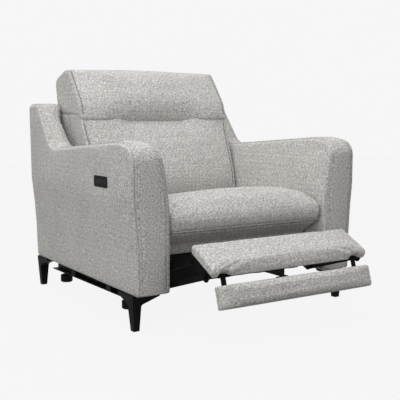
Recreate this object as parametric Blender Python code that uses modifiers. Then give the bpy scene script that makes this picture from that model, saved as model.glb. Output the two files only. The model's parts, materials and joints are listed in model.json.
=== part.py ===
"""Power reclining snuggle chair: one wide seat, a reclining back, a hinged headrest and a power footrest.

Units are metres, +Z up, +X to the sitter's left, +Y towards the back of the chair.
Sizes below are laid out with y = 0 at the front of the arms; the finished model is centred on its footprint.
"""

from math import atan2, ceil, cos, pi, radians, sin, tan

import bmesh
import bpy
from mathutils import Matrix, Vector

# Fits
FIT_GAP = 0.0003
PIN_CLEARANCE = 0.0005
RUNNING_GAP = 0.0008

# Arms
CHAIR_WIDTH = 1.080
ARM_DEPTH = 1.042
ARM_BOTTOM_Z = 0.136
ARM_FRONT_TOP_Z = 0.675
ARM_CREST_Y = 0.110
ARM_CREST_Z = 0.694
ARM_REAR_DIP_Z = 0.644
WING_FOOT_DEPTH = 0.274
WING_TOP_DEPTH = 0.125
WING_TOP_Z = 0.838
WING_TOP_LEAN = 0.048
ARM_REAR_LEAN = 0.022
ARM_REAR_TAPER = 0.030
ARM_FOOT_INSET = 0.0186
ARM_FOOT_WIDTH = 0.1444
ARM_TOP_WIDTH = 0.128
ARM_PADDING = 0.030
ARM_EDGE_RADIUS = 0.012
ARM_FRAME_RAIL = 0.045
ARM_FRAME_WIDTH = 0.045

# Legs and base
LEG_TOP_SIZE = 0.040
LEG_TIP_SIZE = 0.024
LEG_INSET_X = 0.021
LEG_FRONT_Y = 0.056
LEG_REAR_INSET = 0.042
LEG_WING_LENGTH = 0.075
LEG_CROSS_WING_LENGTH = 0.076
LEG_WING_ROOT = 0.036
LEG_WING_END = 0.012
BASE_RAIL_CLEARANCE = 0.003
BASE_RAIL_FRONT_Y = 0.265
BASE_RAIL_REAR_INSET = 0.010
BASE_RAIL_BOTTOM_Z = 0.062
BASE_RAIL_HEIGHT = 0.040
BASE_RAIL_WIDTH = 0.030
BASE_RAIL_WALL = 0.004
UPSTAND_WIDTH = 0.018
UPSTAND_LENGTH = 0.040
UPSTAND_FRONT_Y = 0.450
UPSTAND_REAR_INSET = 0.242
FOOT_RADIUS = 0.0275
FOOT_BOTTOM_Z = 0.020
FOOT_TOP_Z = 0.054
FOOT_STEM_RADIUS = 0.008
FOOT_FRONT_Y = 0.300
FOOT_REAR_INSET = 0.134

# Seat
SEAT_SIDE_CLEARANCE = 0.012
SEAT_FRONT_Y = 0.020
SEAT_REAR_LEAD = 0.050
SEAT_CROWN_Z = 0.458
SEAT_CROWN_Y = 0.200
SEAT_REAR_Z = 0.434
SEAT_LIP_Z = 0.352
SEAT_CROWN = 0.012
SEAT_FRAME_TOP_Z = 0.386
SEAT_FRAME_BOTTOM_Z = 0.346
SEAT_SIDE_RAIL_WIDTH = 0.030
SEAT_FRONT_RAIL_Y = 0.112
SEAT_FRONT_RAIL_BOTTOM_Z = 0.270
SEAT_FRONT_RAIL_CLEARANCE = 0.0036
SEAT_RAIL_THICKNESS = 0.018
SEAT_REAR_RAIL_LEAD = 0.115
SEAT_DECK_THICKNESS = 0.012

# Linkage layers, counted inwards from the inner face of each arm
LAYER_CLEARANCE = 0.005
LINK_THICKNESS = 0.0035
LINK_HALF_WIDTH = 0.012
PIN_RADIUS = 0.005
PIN_HEAD_RADIUS = 0.008
PIN_HEAD_THICKNESS = 0.0012

# Footrest pads as they stand half open
PAD_FRONT_TOP = (-0.258, 0.268)
PAD_TILT = radians(27.0)
PAD_LENGTH = 0.153
PAD_THICKNESS = 0.026
PAD_SIDE_CLEARANCE = 0.0125
PAD_CROWN = 0.006
PAD_BOARD_THICKNESS = 0.010
PAD_BOARD_INSET = 0.008
FLIPPER_FOLD = radians(46.5)
FLIPPER_LENGTH = 0.084
FLIPPER_GAP = 0.033
FLIPPER_THICKNESS = 0.024
FLIPPER_SIDE_CLEARANCE = 0.0049
FLIPPER_BAR_INSET = 0.0534
FLIPPER_BAR_WIDTH = 0.020
FLIPPER_BAR_THICKNESS = 0.004
FLIPPER_KNUCKLE_RADIUS = 0.0065
FLIPPER_PIN_RADIUS = 0.003
FLIPPER_EAR_THICKNESS = 0.004
BRACKET_FLANGE = 0.003
BRACKET_FLANGE_INSET = 0.001
BRACKET_DROP = 0.037

# Footrest pivots: the drive axis and link spans in chair y and z, the bracket pivots along and below the pad
DRIVE_AXIS = (0.260, 0.3315)
CARRIER_SPAN = (-0.290, 0.090)
REAR_LINK_OFFSET = (0.069, -0.014)
BRACKET_CARRIER_PIVOT = (-0.130, -0.060)
BRACKET_TIE_PIVOT = (-0.030, -0.055)
FLIPPER_PIVOT = (-0.010, -0.044)
DRIVE_TUBE_RADIUS = 0.011
FOOTREST_CLOSED = radians(-65.0)
FOOTREST_OPEN = radians(23.0)

# Cross tubes and motors under the seat
CROSS_TUBE_RADIUS = 0.011
CROSS_TUBE_Z = 0.296
CROSS_TUBE_MID_LEAD = 0.2408
CROSS_TUBE_REAR_LEAD = 0.055
PLATE_LEG_SHARE = 0.66
PLATE_LEG_WIDTH = 0.060
PLATE_ARCH_RADIUS = 0.010
FOOTREST_MOTOR_X = -0.090
RECLINE_MOTOR_X = 0.090
FOOTREST_FORK_REACH = 0.055
FOOTREST_FORK_LENGTH = 0.083
RECLINE_LEVER_REACH = 0.089
RECLINE_LEVER_LENGTH = 0.099
LEVER_FOOT_HALF = 0.030
LEVER_FOOT_THICKNESS = 0.004
FORK_SLOT = 0.017
FORK_WIDTH = 0.033
FORK_THICKNESS = 0.006
BLOCK_PIN_RADIUS = 0.005
BLOCK_CHEEK = 0.012
BLOCK_HALF_LENGTH = 0.014
BLOCK_BASE_HEIGHT = 0.010
RAIL_HEIGHT = 0.0255
RAIL_WALL = 0.003
FOOTREST_RAIL_FRONT = 0.070
FOOTREST_RAIL_LEAD = 0.125
RECLINE_RAIL_LEAD = 0.315
RECLINE_RAIL_TAIL = 0.060
MOTOR_LENGTH = 0.120
MOTOR_HALF_WIDTH = 0.032

# Back, laid out from its hinge: leads run forward of the hinge, tails run behind it
BACK_AXIS_INSET = 0.352
BACK_AXIS_Z = 0.345
BACK_RECLINE = radians(30.0)
BACK_BOTTOM_Z = 0.452
BACK_BOTTOM_LEAD = 0.092
BACK_TUCK_TAIL = 0.052
BACK_TUCK_Z = 0.767
BACK_SIDE_CLEARANCE = 0.004
BACK_FLARE = 0.017
BACK_FLARE_LOW_Z = 0.550
BACK_FLARE_TOP_Z = 0.800
BACK_LUMBAR_CROWN = 0.016
BACK_FRAME_LEAN = radians(21.007)
BACK_FRAME_TAIL = 0.075
BACK_FRAME_REF_Z = 0.460
BACK_FRAME_THICKNESS = 0.030
BACK_FRAME_BOTTOM_Z = 0.400
BACK_FRAME_TOP_Z = 0.7665
BACK_FRAME_RAIL = 0.040
BACK_PANEL_WALL = 0.020
BACK_PANEL_BOTTOM_Z = 0.406
BACK_PANEL_TOP_Z = 0.786
BACK_PANEL_LOW_TAIL = 0.185
BACK_PANEL_TOP_TAIL = 0.2942
BACK_BRACKET_HALF_WIDTH = 0.013
BACK_BRACKET_KNEE_Z = 0.425
BACK_BRACKET_TOP_Z = 0.600

# Headrest, laid out from the back's hinge
HEAD_AXIS_TAIL = 0.075
HEAD_AXIS_Z = 0.779
HEAD_BOTTOM_Z = 0.7925
HEAD_LIP_Z = 0.785
HEAD_LIP_TAIL = 0.045
HEAD_TOP_Z = 0.996
HEAD_TOP_FRONT_TAIL = 0.168
HEAD_TOP_REAR_TAIL = 0.219
HEAD_REAR_TAIL = 0.330
HEAD_REAR_Z = 0.954
HEAD_CROWN = 0.012
HEAD_ROD_RADIUS = 0.005
HEAD_KNUCKLE_RADIUS = 0.0105
HEAD_PLATE_THICKNESS = 0.004
HEAD_PLATE_HALF_WIDTH = 0.200
HEAD_PLATE_DEPTH = 0.140
HEAD_STRAP_X = 0.260
HEAD_STRAP_WIDTH = 0.020
HEAD_STRAP_THICKNESS = 0.005

# Switch on the outer side of the left arm
SWITCH_Y = 0.259
SWITCH_Z = 0.540
SWITCH_LENGTH = 0.122
SWITCH_HEIGHT = 0.044
SWITCH_DEPTH = 0.008
SWITCH_CORNER = 0.008
BUTTON_COUNT = 4
BUTTON_PITCH = 0.022
BUTTON_LENGTH = 0.016
BUTTON_HEIGHT = 0.013
BUTTON_PROUD = 0.0005
BUTTON_DEPTH = 0.0062

# Finish: colour, roughness, metallic
FABRIC = ((0.48, 0.475, 0.46), 0.95, 0.0)
BLACK_STEEL = ((0.02, 0.02, 0.021), 0.45, 0.8)
BLACK_PLASTIC = ((0.03, 0.03, 0.032), 0.5, 0.0)
TIMBER = ((0.55, 0.42, 0.28), 0.7, 0.0)
WEBBING = ((0.10, 0.10, 0.11), 0.9, 0.0)

ARC_STEP = radians(18.0)
ROUND_STEPS = 20
SIDES = (("left", -1), ("right", 1))

# Derived places across the chair
ARM_OUTER_HALF = CHAIR_WIDTH / 2
ARM_FOOT_OUTER = ARM_OUTER_HALF - ARM_FOOT_INSET
ARM_INNER_HALF = ARM_FOOT_OUTER - ARM_FOOT_WIDTH
ARM_TOP_INNER = ARM_OUTER_HALF - ARM_TOP_WIDTH
LAYER_PITCH = LINK_THICKNESS + RUNNING_GAP
TIE_X = ARM_INNER_HALF - LAYER_CLEARANCE
CARRIER_X = TIE_X - LAYER_PITCH
DRIVE_X = CARRIER_X - LAYER_PITCH
SIDE_PLATE_X = DRIVE_X - LAYER_PITCH
SIDE_PLATE_INNER = SIDE_PLATE_X - LINK_THICKNESS
BRACKET_X = SIDE_PLATE_INNER - RUNNING_GAP
BASE_RAIL_X = ARM_INNER_HALF + BASE_RAIL_CLEARANCE
SEAT_HALF_WIDTH = ARM_INNER_HALF - SEAT_SIDE_CLEARANCE
SEAT_FRONT_RAIL_HALF = SIDE_PLATE_INNER - SEAT_FRONT_RAIL_CLEARANCE
PAD_HALF_WIDTH = ARM_INNER_HALF - PAD_SIDE_CLEARANCE
FLIPPER_HALF_WIDTH = DRIVE_X - LINK_THICKNESS - FLIPPER_SIDE_CLEARANCE
FLIPPER_BAR_X = DRIVE_X - FLIPPER_BAR_INSET
BACK_LOW_HALF_WIDTH = ARM_INNER_HALF - BACK_SIDE_CLEARANCE
BACK_TOP_HALF_WIDTH = BACK_LOW_HALF_WIDTH + BACK_FLARE
BACK_FRAME_HALF_WIDTH = BRACKET_X - LINK_THICKNESS - FIT_GAP

# Derived places along the chair
LEG_TOP_Z = ARM_BOTTOM_Z - FIT_GAP
ARM_REAR_DIP_Y = ARM_DEPTH - WING_FOOT_DEPTH
WING_TOP_FRONT_Y = ARM_DEPTH - WING_TOP_DEPTH
BASE_RAIL_REAR_Y = ARM_DEPTH - BASE_RAIL_REAR_INSET
UPSTAND_Y = (UPSTAND_FRONT_Y, ARM_DEPTH - UPSTAND_REAR_INSET)
FOOT_REAR_Y = ARM_DEPTH - FOOT_REAR_INSET
BACK_AXIS = (ARM_DEPTH - BACK_AXIS_INSET, BACK_AXIS_Z)
SEAT_REAR_Y = BACK_AXIS[0] - SEAT_REAR_LEAD
SEAT_REAR_RAIL_Y = BACK_AXIS[0] - SEAT_REAR_RAIL_LEAD
HINGE_SPAN = BACK_AXIS[0] - DRIVE_AXIS[0]
CROSS_TUBE_MID_Y = BACK_AXIS[0] - CROSS_TUBE_MID_LEAD
CROSS_TUBE_REAR_Y = BACK_AXIS[0] - CROSS_TUBE_REAR_LEAD
PLATE_LEG_Y = DRIVE_AXIS[0] + PLATE_LEG_SHARE * HINGE_SPAN
FOOTREST_RAIL_Y = (DRIVE_AXIS[0] - FOOTREST_RAIL_FRONT, BACK_AXIS[0] - FOOTREST_RAIL_LEAD)
RECLINE_RAIL_Y = (BACK_AXIS[0] - RECLINE_RAIL_LEAD, BACK_AXIS[0] + RECLINE_RAIL_TAIL)
BACK_BOTTOM_FRONT_Y = BACK_AXIS[0] - BACK_BOTTOM_LEAD
BACK_TUCK_FRONT_Y = BACK_AXIS[0] + BACK_TUCK_TAIL
BACK_FRAME_REF = (BACK_AXIS[0] + BACK_FRAME_TAIL, BACK_FRAME_REF_Z)
BACK_PANEL_LOW_Y = BACK_AXIS[0] + BACK_PANEL_LOW_TAIL
BACK_PANEL_TOP_Y = BACK_AXIS[0] + BACK_PANEL_TOP_TAIL
HEAD_AXIS = (BACK_AXIS[0] + HEAD_AXIS_TAIL, HEAD_AXIS_Z)
HEAD_LIP_Y = BACK_AXIS[0] + HEAD_LIP_TAIL
HEAD_TOP_FRONT_Y = BACK_AXIS[0] + HEAD_TOP_FRONT_TAIL
HEAD_TOP_REAR_Y = BACK_AXIS[0] + HEAD_TOP_REAR_TAIL
HEAD_REAR_Y = BACK_AXIS[0] + HEAD_REAR_TAIL


# Outline helpers

def arc_points(centre, radius, start, sweep):
    """Points on an arc, both ends included."""
    count = max(1, ceil(abs(sweep) / ARC_STEP))
    angles = [start + sweep * i / count for i in range(count + 1)]
    return [(centre[0] + radius * cos(a), centre[1] + radius * sin(a)) for a in angles]


def rounded(corners):
    """A closed outline through corners (a, b, radius), with an arc at each corner that has a radius."""
    outline = []
    for i, (a, b, radius) in enumerate(corners):
        here = Vector((a, b))
        before = Vector(corners[i - 1][:2])
        after = Vector(corners[(i + 1) % len(corners)][:2])
        into = (here - before).normalized()
        out = (after - here).normalized()
        turn = atan2(into.x * out.y - into.y * out.x, into.dot(out))
        if radius == 0 or abs(turn) < 1e-4:
            outline.append((a, b))
            continue
        reach = radius * tan(abs(turn) / 2)
        side = 1 if turn > 0 else -1
        begin = here - into * reach
        centre = begin + Vector((-into.y, into.x)) * radius * side
        start = atan2(begin.y - centre.y, begin.x - centre.x)
        outline += arc_points(centre, radius, start, turn)
    return outline


def circle(centre, radius):
    return arc_points(centre, radius, 0, 2 * pi * (1 - 1 / ROUND_STEPS))


def box_outline(low, high, radius=0.0):
    return rounded(
        [
            (low[0], low[1], radius),
            (high[0], low[1], radius),
            (high[0], high[1], radius),
            (low[0], high[1], radius),
        ]
    )


def link_outline(pivots, half_width):
    """The outline of a flat link: a band of constant width along its pivots, with round ends."""
    points = [Vector(p) for p in pivots]
    ways = [(b - a).normalized() for a, b in zip(points, points[1:])]
    left = []
    right = []
    for i in range(1, len(points) - 1):
        middle = (ways[i - 1] + ways[i]).normalized()
        normal = Vector((-middle.y, middle.x))
        reach = half_width / normal.dot(Vector((-ways[i].y, ways[i].x)))
        left.append(tuple(points[i] + normal * reach))
        right.append(tuple(points[i] - normal * reach))
    first = atan2(ways[0].y, ways[0].x)
    last = atan2(ways[-1].y, ways[-1].x)
    start_cap = arc_points(points[0], half_width, first + pi / 2, pi)
    end_cap = arc_points(points[-1], half_width, last - pi / 2, pi)
    return start_cap + right + end_cap + left[::-1]


def inset_corners(corners, inset):
    """Corners (a, b, radius) of an outline moved inwards by inset; the corners run anticlockwise."""
    moved = []
    for i, (a, b, radius) in enumerate(corners):
        here = Vector((a, b))
        into = (here - Vector(corners[i - 1][:2])).normalized()
        out = (Vector(corners[(i + 1) % len(corners)][:2]) - here).normalized()
        normal = Vector((-into.y, into.x)) + Vector((-out.y, out.x))
        place = here + normal * (2 * inset / normal.length_squared)
        turn = into.x * out.y - into.y * out.x
        moved.append((place.x, place.y, max(0.004, radius - inset if turn > 0 else radius + inset)))
    return moved


# Solid helpers

def axis_index(axis):
    return "xyz".index(axis)


def axis_frame(axis):
    """The turn that brings a flat outline into the plane across an axis."""
    if axis == "x":
        return Matrix(((0, 0, 1), (1, 0, 0), (0, 1, 0)))
    if axis == "y":
        return Matrix(((1, 0, 0), (0, 0, -1), (0, 1, 0)))
    return Matrix.Identity(3)


def remove_start_objects():
    for obj in list(bpy.data.objects):
        bpy.data.objects.remove(obj, do_unlink=True)


def make_collection(name):
    collection = bpy.data.collections.new(name)
    bpy.context.scene.collection.children.link(collection)
    return collection


def make_material(name, finish):
    colour, roughness, metallic = finish
    material = bpy.data.materials.new(name)
    material.use_nodes = True
    shader = material.node_tree.nodes["Principled BSDF"]
    shader.inputs["Base Color"].default_value = (*colour, 1.0)
    shader.inputs["Roughness"].default_value = roughness
    shader.inputs["Metallic"].default_value = metallic
    return material


def prism(name, outline, axis, low, high, holes=()):
    """A flat outline, with holes, extruded along an axis from low to high."""
    curve = bpy.data.curves.new(name, "CURVE")
    curve.dimensions = "2D"
    curve.fill_mode = "BOTH"
    curve.extrude = abs(high - low) / 2
    for points in (outline, *holes):
        spline = curve.splines.new("POLY")
        spline.points.add(len(points) - 1)
        for point, (a, b) in zip(spline.points, points):
            point.co = (a, b, 0, 1)
        spline.use_cyclic_u = True
    drawn = bpy.data.objects.new(name, curve)
    bpy.context.scene.collection.objects.link(drawn)
    bpy.context.view_layer.update()
    graph = bpy.context.evaluated_depsgraph_get()
    mesh = bpy.data.meshes.new_from_object(drawn.evaluated_get(graph))
    bpy.data.objects.remove(drawn, do_unlink=True)
    mesh.name = name
    shift = Vector((0, 0, 0))
    shift[axis_index(axis)] = (low + high) / 2
    mesh.transform(Matrix.Translation(shift) @ axis_frame(axis).to_4x4())
    mesh.materials.clear()
    obj = bpy.data.objects.new(name, mesh)
    tidy_mesh(obj)
    return obj


def tidy_mesh(obj):
    work = bmesh.new()
    work.from_mesh(obj.data)
    bmesh.ops.remove_doubles(work, verts=work.verts, dist=1e-6)
    bmesh.ops.recalc_face_normals(work, faces=work.faces)
    work.to_mesh(obj.data)
    work.free()


def slab(name, low, high):
    """A box between two corners."""
    work = bmesh.new()
    bmesh.ops.create_cube(work, size=1.0)
    low = Vector(low)
    high = Vector(high)
    for vert in work.verts:
        vert.co = Vector([(a + b) / 2 + c * (b - a) for a, b, c in zip(low, high, vert.co)])
    mesh = bpy.data.meshes.new(name)
    bmesh.ops.recalc_face_normals(work, faces=work.faces)
    work.to_mesh(mesh)
    work.free()
    return bpy.data.objects.new(name, mesh)


def pin(name, place, radius, low, high):
    """A round pin along X."""
    return prism(name, circle(place, radius), "x", min(low, high), max(low, high))


def turned(name, profile, place):
    """A shape turned about a vertical axis, from a profile of (radius, height), top to bottom."""
    mesh = bpy.data.meshes.new(name)
    points = [(radius, 0, height) for radius, height in profile]
    edges = [(i, i + 1) for i in range(len(points) - 1)]
    mesh.from_pydata(points, edges, [])
    obj = bpy.data.objects.new(name, mesh)
    obj.location = place
    screw = obj.modifiers.new("turn", "SCREW")
    screw.steps = ROUND_STEPS
    screw.render_steps = ROUND_STEPS
    screw.use_merge_vertices = True
    screw.merge_threshold = 1e-5
    return obj


def slice_mesh(obj, axis, places):
    """Adds a loop of points where planes across an axis meet the mesh, so that it can be bent there."""
    work = bmesh.new()
    work.from_mesh(obj.data)
    normal = Vector((0, 0, 0))
    normal[axis_index(axis)] = 1
    for place in places:
        everything = [*work.verts, *work.edges, *work.faces]
        bmesh.ops.bisect_plane(work, geom=everything, plane_co=normal * place, plane_no=normal, dist=1e-5)
    work.to_mesh(obj.data)
    work.free()


def bend(obj, move):
    """Moves every point of a mesh by a rule."""
    for vert in obj.data.vertices:
        vert.co = move(vert.co)
    tidy_mesh(obj)


def crown(obj, half_width, amount, way):
    """Swells the faces of a cushion that look along way, most at the middle of its width."""
    way = Vector(way).normalized()
    normals = [vert.normal.copy() for vert in obj.data.vertices]
    for vert, normal in zip(obj.data.vertices, normals):
        share = max(0.0, normal.dot(way)) * (1 - (vert.co.x / half_width) ** 2)
        vert.co += way * amount * share


def soften(obj, width, segments=2, angle=radians(50)):
    bevel = obj.modifiers.new("soft edges", "BEVEL")
    bevel.width = width
    bevel.segments = segments
    bevel.limit_method = "ANGLE"
    bevel.angle_limit = angle
    bevel.use_clamp_overlap = True
    return bevel


def boolean(obj, other, operation):
    """Joins or cuts a piece with another, which is kept as a hidden tool."""
    cutters.objects.link(other)
    other.hide_render = True
    other.display_type = "WIRE"
    other.parent = chair
    step = obj.modifiers.new(other.name, "BOOLEAN")
    step.operation = operation
    step.object = other
    return obj


def fuse(obj, *others):
    for other in others:
        boolean(obj, other, "UNION")
    return obj


def cut(obj, *others):
    for other in others:
        boolean(obj, other, "DIFFERENCE")
    return obj


def finish(obj, look, pivot=None):
    """Puts a piece into the chair, gives it its own material and hangs it on its pivot."""
    parts.objects.link(obj)
    obj.data.materials.clear()
    obj.data.materials.append(make_material(obj.name, look))
    obj.parent = chair
    if pivot is not None:
        obj.data.transform(Matrix.Translation(-Vector(pivot["place"])))
        obj.parent = pivot
    obj.data.shade_smooth()
    obj.data.set_sharp_from_angle(angle=radians(35))
    return obj


def joint_empty(name, place, carrier=None):
    """An empty on a joint's axis, at a place in chair coordinates, carried by another joint's empty."""
    empty = bpy.data.objects.new(name, None)
    parts.objects.link(empty)
    empty["place"] = place
    empty.parent = carrier or chair
    empty.location = Vector(place) - (Vector(carrier["place"]) if carrier else Vector((0, 0, 0)))
    empty.empty_display_size = 0.05
    return empty


def on_axis(place):
    return (0.0, place[0], place[1])


def add(a, b):
    return (a[0] + b[0], a[1] + b[1])


def subtract(a, b):
    return (a[0] - b[0], a[1] - b[1])


def between(side, a, b):
    """The low and high X of a layer from a to b on one side of the chair."""
    return sorted((side * a, side * b))


# Footrest places: u runs along the pad to its front, n out of its face

def on_pad(place):
    u, n = place
    y = PAD_FRONT_TOP[0] - u * cos(PAD_TILT) - n * sin(PAD_TILT)
    z = PAD_FRONT_TOP[1] - u * sin(PAD_TILT) + n * cos(PAD_TILT)
    return (y, z)


def on_flipper(place):
    along, out = place
    u = FLIPPER_PIVOT[0] + along * cos(FLIPPER_FOLD) + out * sin(FLIPPER_FOLD)
    n = FLIPPER_PIVOT[1] - along * sin(FLIPPER_FOLD) + out * cos(FLIPPER_FOLD)
    return on_pad((u, n))


PIVOT_E = on_pad(BRACKET_CARRIER_PIVOT)
PIVOT_H = on_pad(BRACKET_TIE_PIVOT)
PIVOT_J = on_pad(FLIPPER_PIVOT)
PIVOT_B = subtract(PIVOT_E, CARRIER_SPAN)
PIVOT_G = subtract(PIVOT_H, CARRIER_SPAN)
PIVOT_C = add(DRIVE_AXIS, REAR_LINK_OFFSET)
PIVOT_D = add(PIVOT_B, REAR_LINK_OFFSET)
FLIPPER_FACE = -FLIPPER_PIVOT[1]


# Arms

def arm_corners():
    """The arm seen from the side, anticlockwise in y and z from the front foot."""
    return [
        (0.0, ARM_BOTTOM_Z, 0.008),
        (ARM_DEPTH - ARM_REAR_LEAN, ARM_BOTTOM_Z, 0.018),
        (ARM_DEPTH, WING_TOP_Z, 0.022),
        (WING_TOP_FRONT_Y, WING_TOP_Z, 0.040),
        (ARM_REAR_DIP_Y, ARM_REAR_DIP_Z, 0.100),
        (ARM_CREST_Y, ARM_CREST_Z, 0.150),
        (0.0, ARM_FRONT_TOP_Z, 0.062),
    ]


def arm_box_corners(inset):
    """The arm outline below the wing, moved in."""
    front_foot, rear_foot, _, _, dip, crest, front_top = arm_corners()
    rear_top = (rear_foot[0], dip[1] - 0.020, 0.040)
    return inset_corners([front_foot, rear_foot, rear_top, crest, front_top], inset)


def arm_inner_corners(inset, bottom):
    """The box of the arm moved in by its padding, with the foot edge at a height of its own."""
    corners = arm_box_corners(inset)
    front, rear = corners[0], corners[1]
    return [(front[0], bottom, 0.0), (rear[0], bottom, 0.0), *corners[2:]]


def arm_window_corners(inset):
    """The opening in the arm's frame."""
    return [(a, b, 0.020) for a, b, _ in arm_box_corners(inset)]


def blend_table(table, z):
    """A straight-line reading of (height, value) pairs."""
    if z <= table[0][0]:
        return table[0][1]
    for (z0, v0), (z1, v1) in zip(table, table[1:]):
        if z <= z1:
            return v0 + (v1 - v0) * (z - z0) / (z1 - z0)
    return table[-1][1]


def arm_outer_table():
    rise = ARM_CREST_Z - ARM_BOTTOM_Z
    swell = ARM_OUTER_HALF - ARM_FOOT_OUTER
    return [
        (ARM_BOTTOM_Z, ARM_FOOT_OUTER),
        (ARM_BOTTOM_Z + 0.28 * rise, ARM_FOOT_OUTER + 0.13 * swell),
        (ARM_BOTTOM_Z + 0.48 * rise, ARM_FOOT_OUTER + 0.48 * swell),
        (ARM_BOTTOM_Z + 0.66 * rise, ARM_OUTER_HALF),
    ]


def arm_inner_table():
    hollow = ARM_TOP_INNER - ARM_INNER_HALF
    return [
        (SEAT_CROWN_Z - 0.010, ARM_INNER_HALF),
        (SEAT_CROWN_Z + 0.060, ARM_INNER_HALF + 0.22 * hollow),
        (SEAT_CROWN_Z + 0.120, ARM_INNER_HALF + 0.45 * hollow),
        (SEAT_CROWN_Z + 0.175, ARM_INNER_HALF + 0.80 * hollow),
        (ARM_CREST_Z - 0.016, ARM_TOP_INNER),
        (WING_TOP_Z - 0.100, ARM_TOP_INNER + 0.27 * WING_TOP_LEAN),
        (WING_TOP_Z - 0.024, ARM_TOP_INNER + 0.77 * WING_TOP_LEAN),
        (WING_TOP_Z, ARM_TOP_INNER + WING_TOP_LEAN),
    ]


def arm_taper(y):
    """How far the outer face of an arm has come in at y: the arms close in towards the back."""
    return ARM_REAR_TAPER * y / ARM_DEPTH


def arm_outer_x(y, z):
    return blend_table(arm_outer_table(), z) - arm_taper(y)


def arm_inner_x(z):
    return blend_table(arm_inner_table(), z)


def arm_levels():
    return sorted(z for z, _ in arm_outer_table()[1:] + arm_inner_table()[:-1])


def arm_cavity_x():
    centre = (ARM_TOP_INNER + ARM_FOOT_OUTER - ARM_REAR_TAPER) / 2
    return centre - ARM_FRAME_WIDTH / 2, centre + ARM_FRAME_WIDTH / 2


def build_arm(label, side):
    cover = prism(f"{label}_arm_cover", rounded(arm_corners()), "x", 0.0, 1.0)
    slice_mesh(cover, "z", arm_levels())

    def lean(place):
        across = arm_inner_x(place.z) * (1 - place.x) + arm_outer_x(place.y, place.z) * place.x
        return Vector((side * across, place.y, place.z))

    bend(cover, lean)
    soften(cover, ARM_EDGE_RADIUS)
    hollow = rounded(arm_inner_corners(ARM_PADDING, ARM_BOTTOM_Z - ARM_PADDING))
    low, high = between(side, *arm_cavity_x())
    cut(cover, prism(f"{label}_arm_hollow", hollow, "x", low, high))
    if label == "left":
        cut(cover, switch_recess())
    finish(cover, FABRIC)

    outside = rounded(arm_inner_corners(ARM_PADDING + FIT_GAP, ARM_BOTTOM_Z))
    window = rounded(arm_window_corners(ARM_PADDING + ARM_FRAME_RAIL))
    frame = prism(f"{label}_arm_frame", outside, "x", low + FIT_GAP, high - FIT_GAP, [window])
    finish(frame, TIMBER)


# Switch

def switch_face_x():
    return -(arm_outer_x(SWITCH_Y, SWITCH_Z + SWITCH_HEIGHT / 2) - BUTTON_PROUD)


def lay_on_arm(obj):
    """Turns a piece of the switch about the middle of its face, to lie along the tapered side of the arm."""
    place = Matrix.Translation((switch_face_x(), SWITCH_Y, 0))
    turn = Matrix.Rotation(-atan2(ARM_REAR_TAPER, ARM_DEPTH), 4, "Z")
    obj.data.transform(place @ turn @ place.inverted())
    return obj


def switch_outline(grow):
    half_length = SWITCH_LENGTH / 2 + grow
    half_height = SWITCH_HEIGHT / 2 + grow
    low = (SWITCH_Y - half_length, SWITCH_Z - half_height)
    high = (SWITCH_Y + half_length, SWITCH_Z + half_height)
    return box_outline(low, high, SWITCH_CORNER + grow)


def switch_recess():
    face = switch_face_x()
    outline = switch_outline(FIT_GAP)
    high = face + SWITCH_DEPTH + FIT_GAP
    return lay_on_arm(prism("switch_recess", outline, "x", face - SWITCH_DEPTH, high))


def button_outline(index, grow):
    centre = SWITCH_Y + (index - (BUTTON_COUNT - 1) / 2) * BUTTON_PITCH
    low = (centre - BUTTON_LENGTH / 2 - grow, SWITCH_Z - BUTTON_HEIGHT / 2 - grow)
    high = (centre + BUTTON_LENGTH / 2 + grow, SWITCH_Z + BUTTON_HEIGHT / 2 + grow)
    return box_outline(low, high, 0.003)


def build_switch():
    face = switch_face_x()
    holes = [button_outline(i, FIT_GAP) for i in range(BUTTON_COUNT)]
    bezel = prism("switch_bezel", switch_outline(0.0), "x", face, face + SWITCH_DEPTH, holes)
    finish(lay_on_arm(bezel), BLACK_PLASTIC)
    for i in range(BUTTON_COUNT):
        outer = face - BUTTON_PROUD
        pivot = joint_empty(f"button_{i + 1}_travel", (outer, SWITCH_Y, SWITCH_Z))
        button = prism(f"switch_button_{i + 1}", button_outline(i, 0.0), "x", outer, outer + BUTTON_DEPTH)
        finish(lay_on_arm(button), BLACK_PLASTIC, pivot)


# Legs, base rails and feet

def leg_wing_outline(start, step):
    """A tapered post with a wing along the arm's foot; step says which way the wing runs."""
    top = LEG_TOP_SIZE / 2
    tip = LEG_TIP_SIZE / 2
    end = top + LEG_WING_LENGTH
    corners = [
        (-tip, 0.0, 0.0),
        (tip, 0.0, 0.0),
        (top * 0.85, LEG_TOP_Z - LEG_WING_ROOT, 0.020),
        (end, LEG_TOP_Z - LEG_WING_END, 0.0),
        (end, LEG_TOP_Z, 0.0),
        (-top, LEG_TOP_Z, 0.0),
    ]
    outline = [(start + step * a, b) for a, b in rounded(corners)]
    return outline if step > 0 else outline[::-1]


def leg_cross_wing(start, step):
    """The second wing of a leg, from inside the post."""
    end = LEG_TOP_SIZE / 2 + LEG_CROSS_WING_LENGTH
    top = LEG_TOP_Z - FIT_GAP
    corners = [
        (0.0, LEG_TOP_Z - LEG_WING_ROOT * 1.8),
        (LEG_TOP_SIZE * 0.55, LEG_TOP_Z - LEG_WING_ROOT),
        (end, LEG_TOP_Z - LEG_WING_END),
        (end, top),
        (0.0, top),
    ]
    outline = [(start + step * a, b) for a, b in corners]
    return outline if step > 0 else outline[::-1]


def taper(obj, axis, centre):
    index = axis_index(axis)
    share = LEG_TIP_SIZE / LEG_TOP_SIZE

    def narrow(place):
        if place.z < FIT_GAP:
            place[index] = centre + (place[index] - centre) * share
        return place

    bend(obj, narrow)
    return obj


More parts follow.
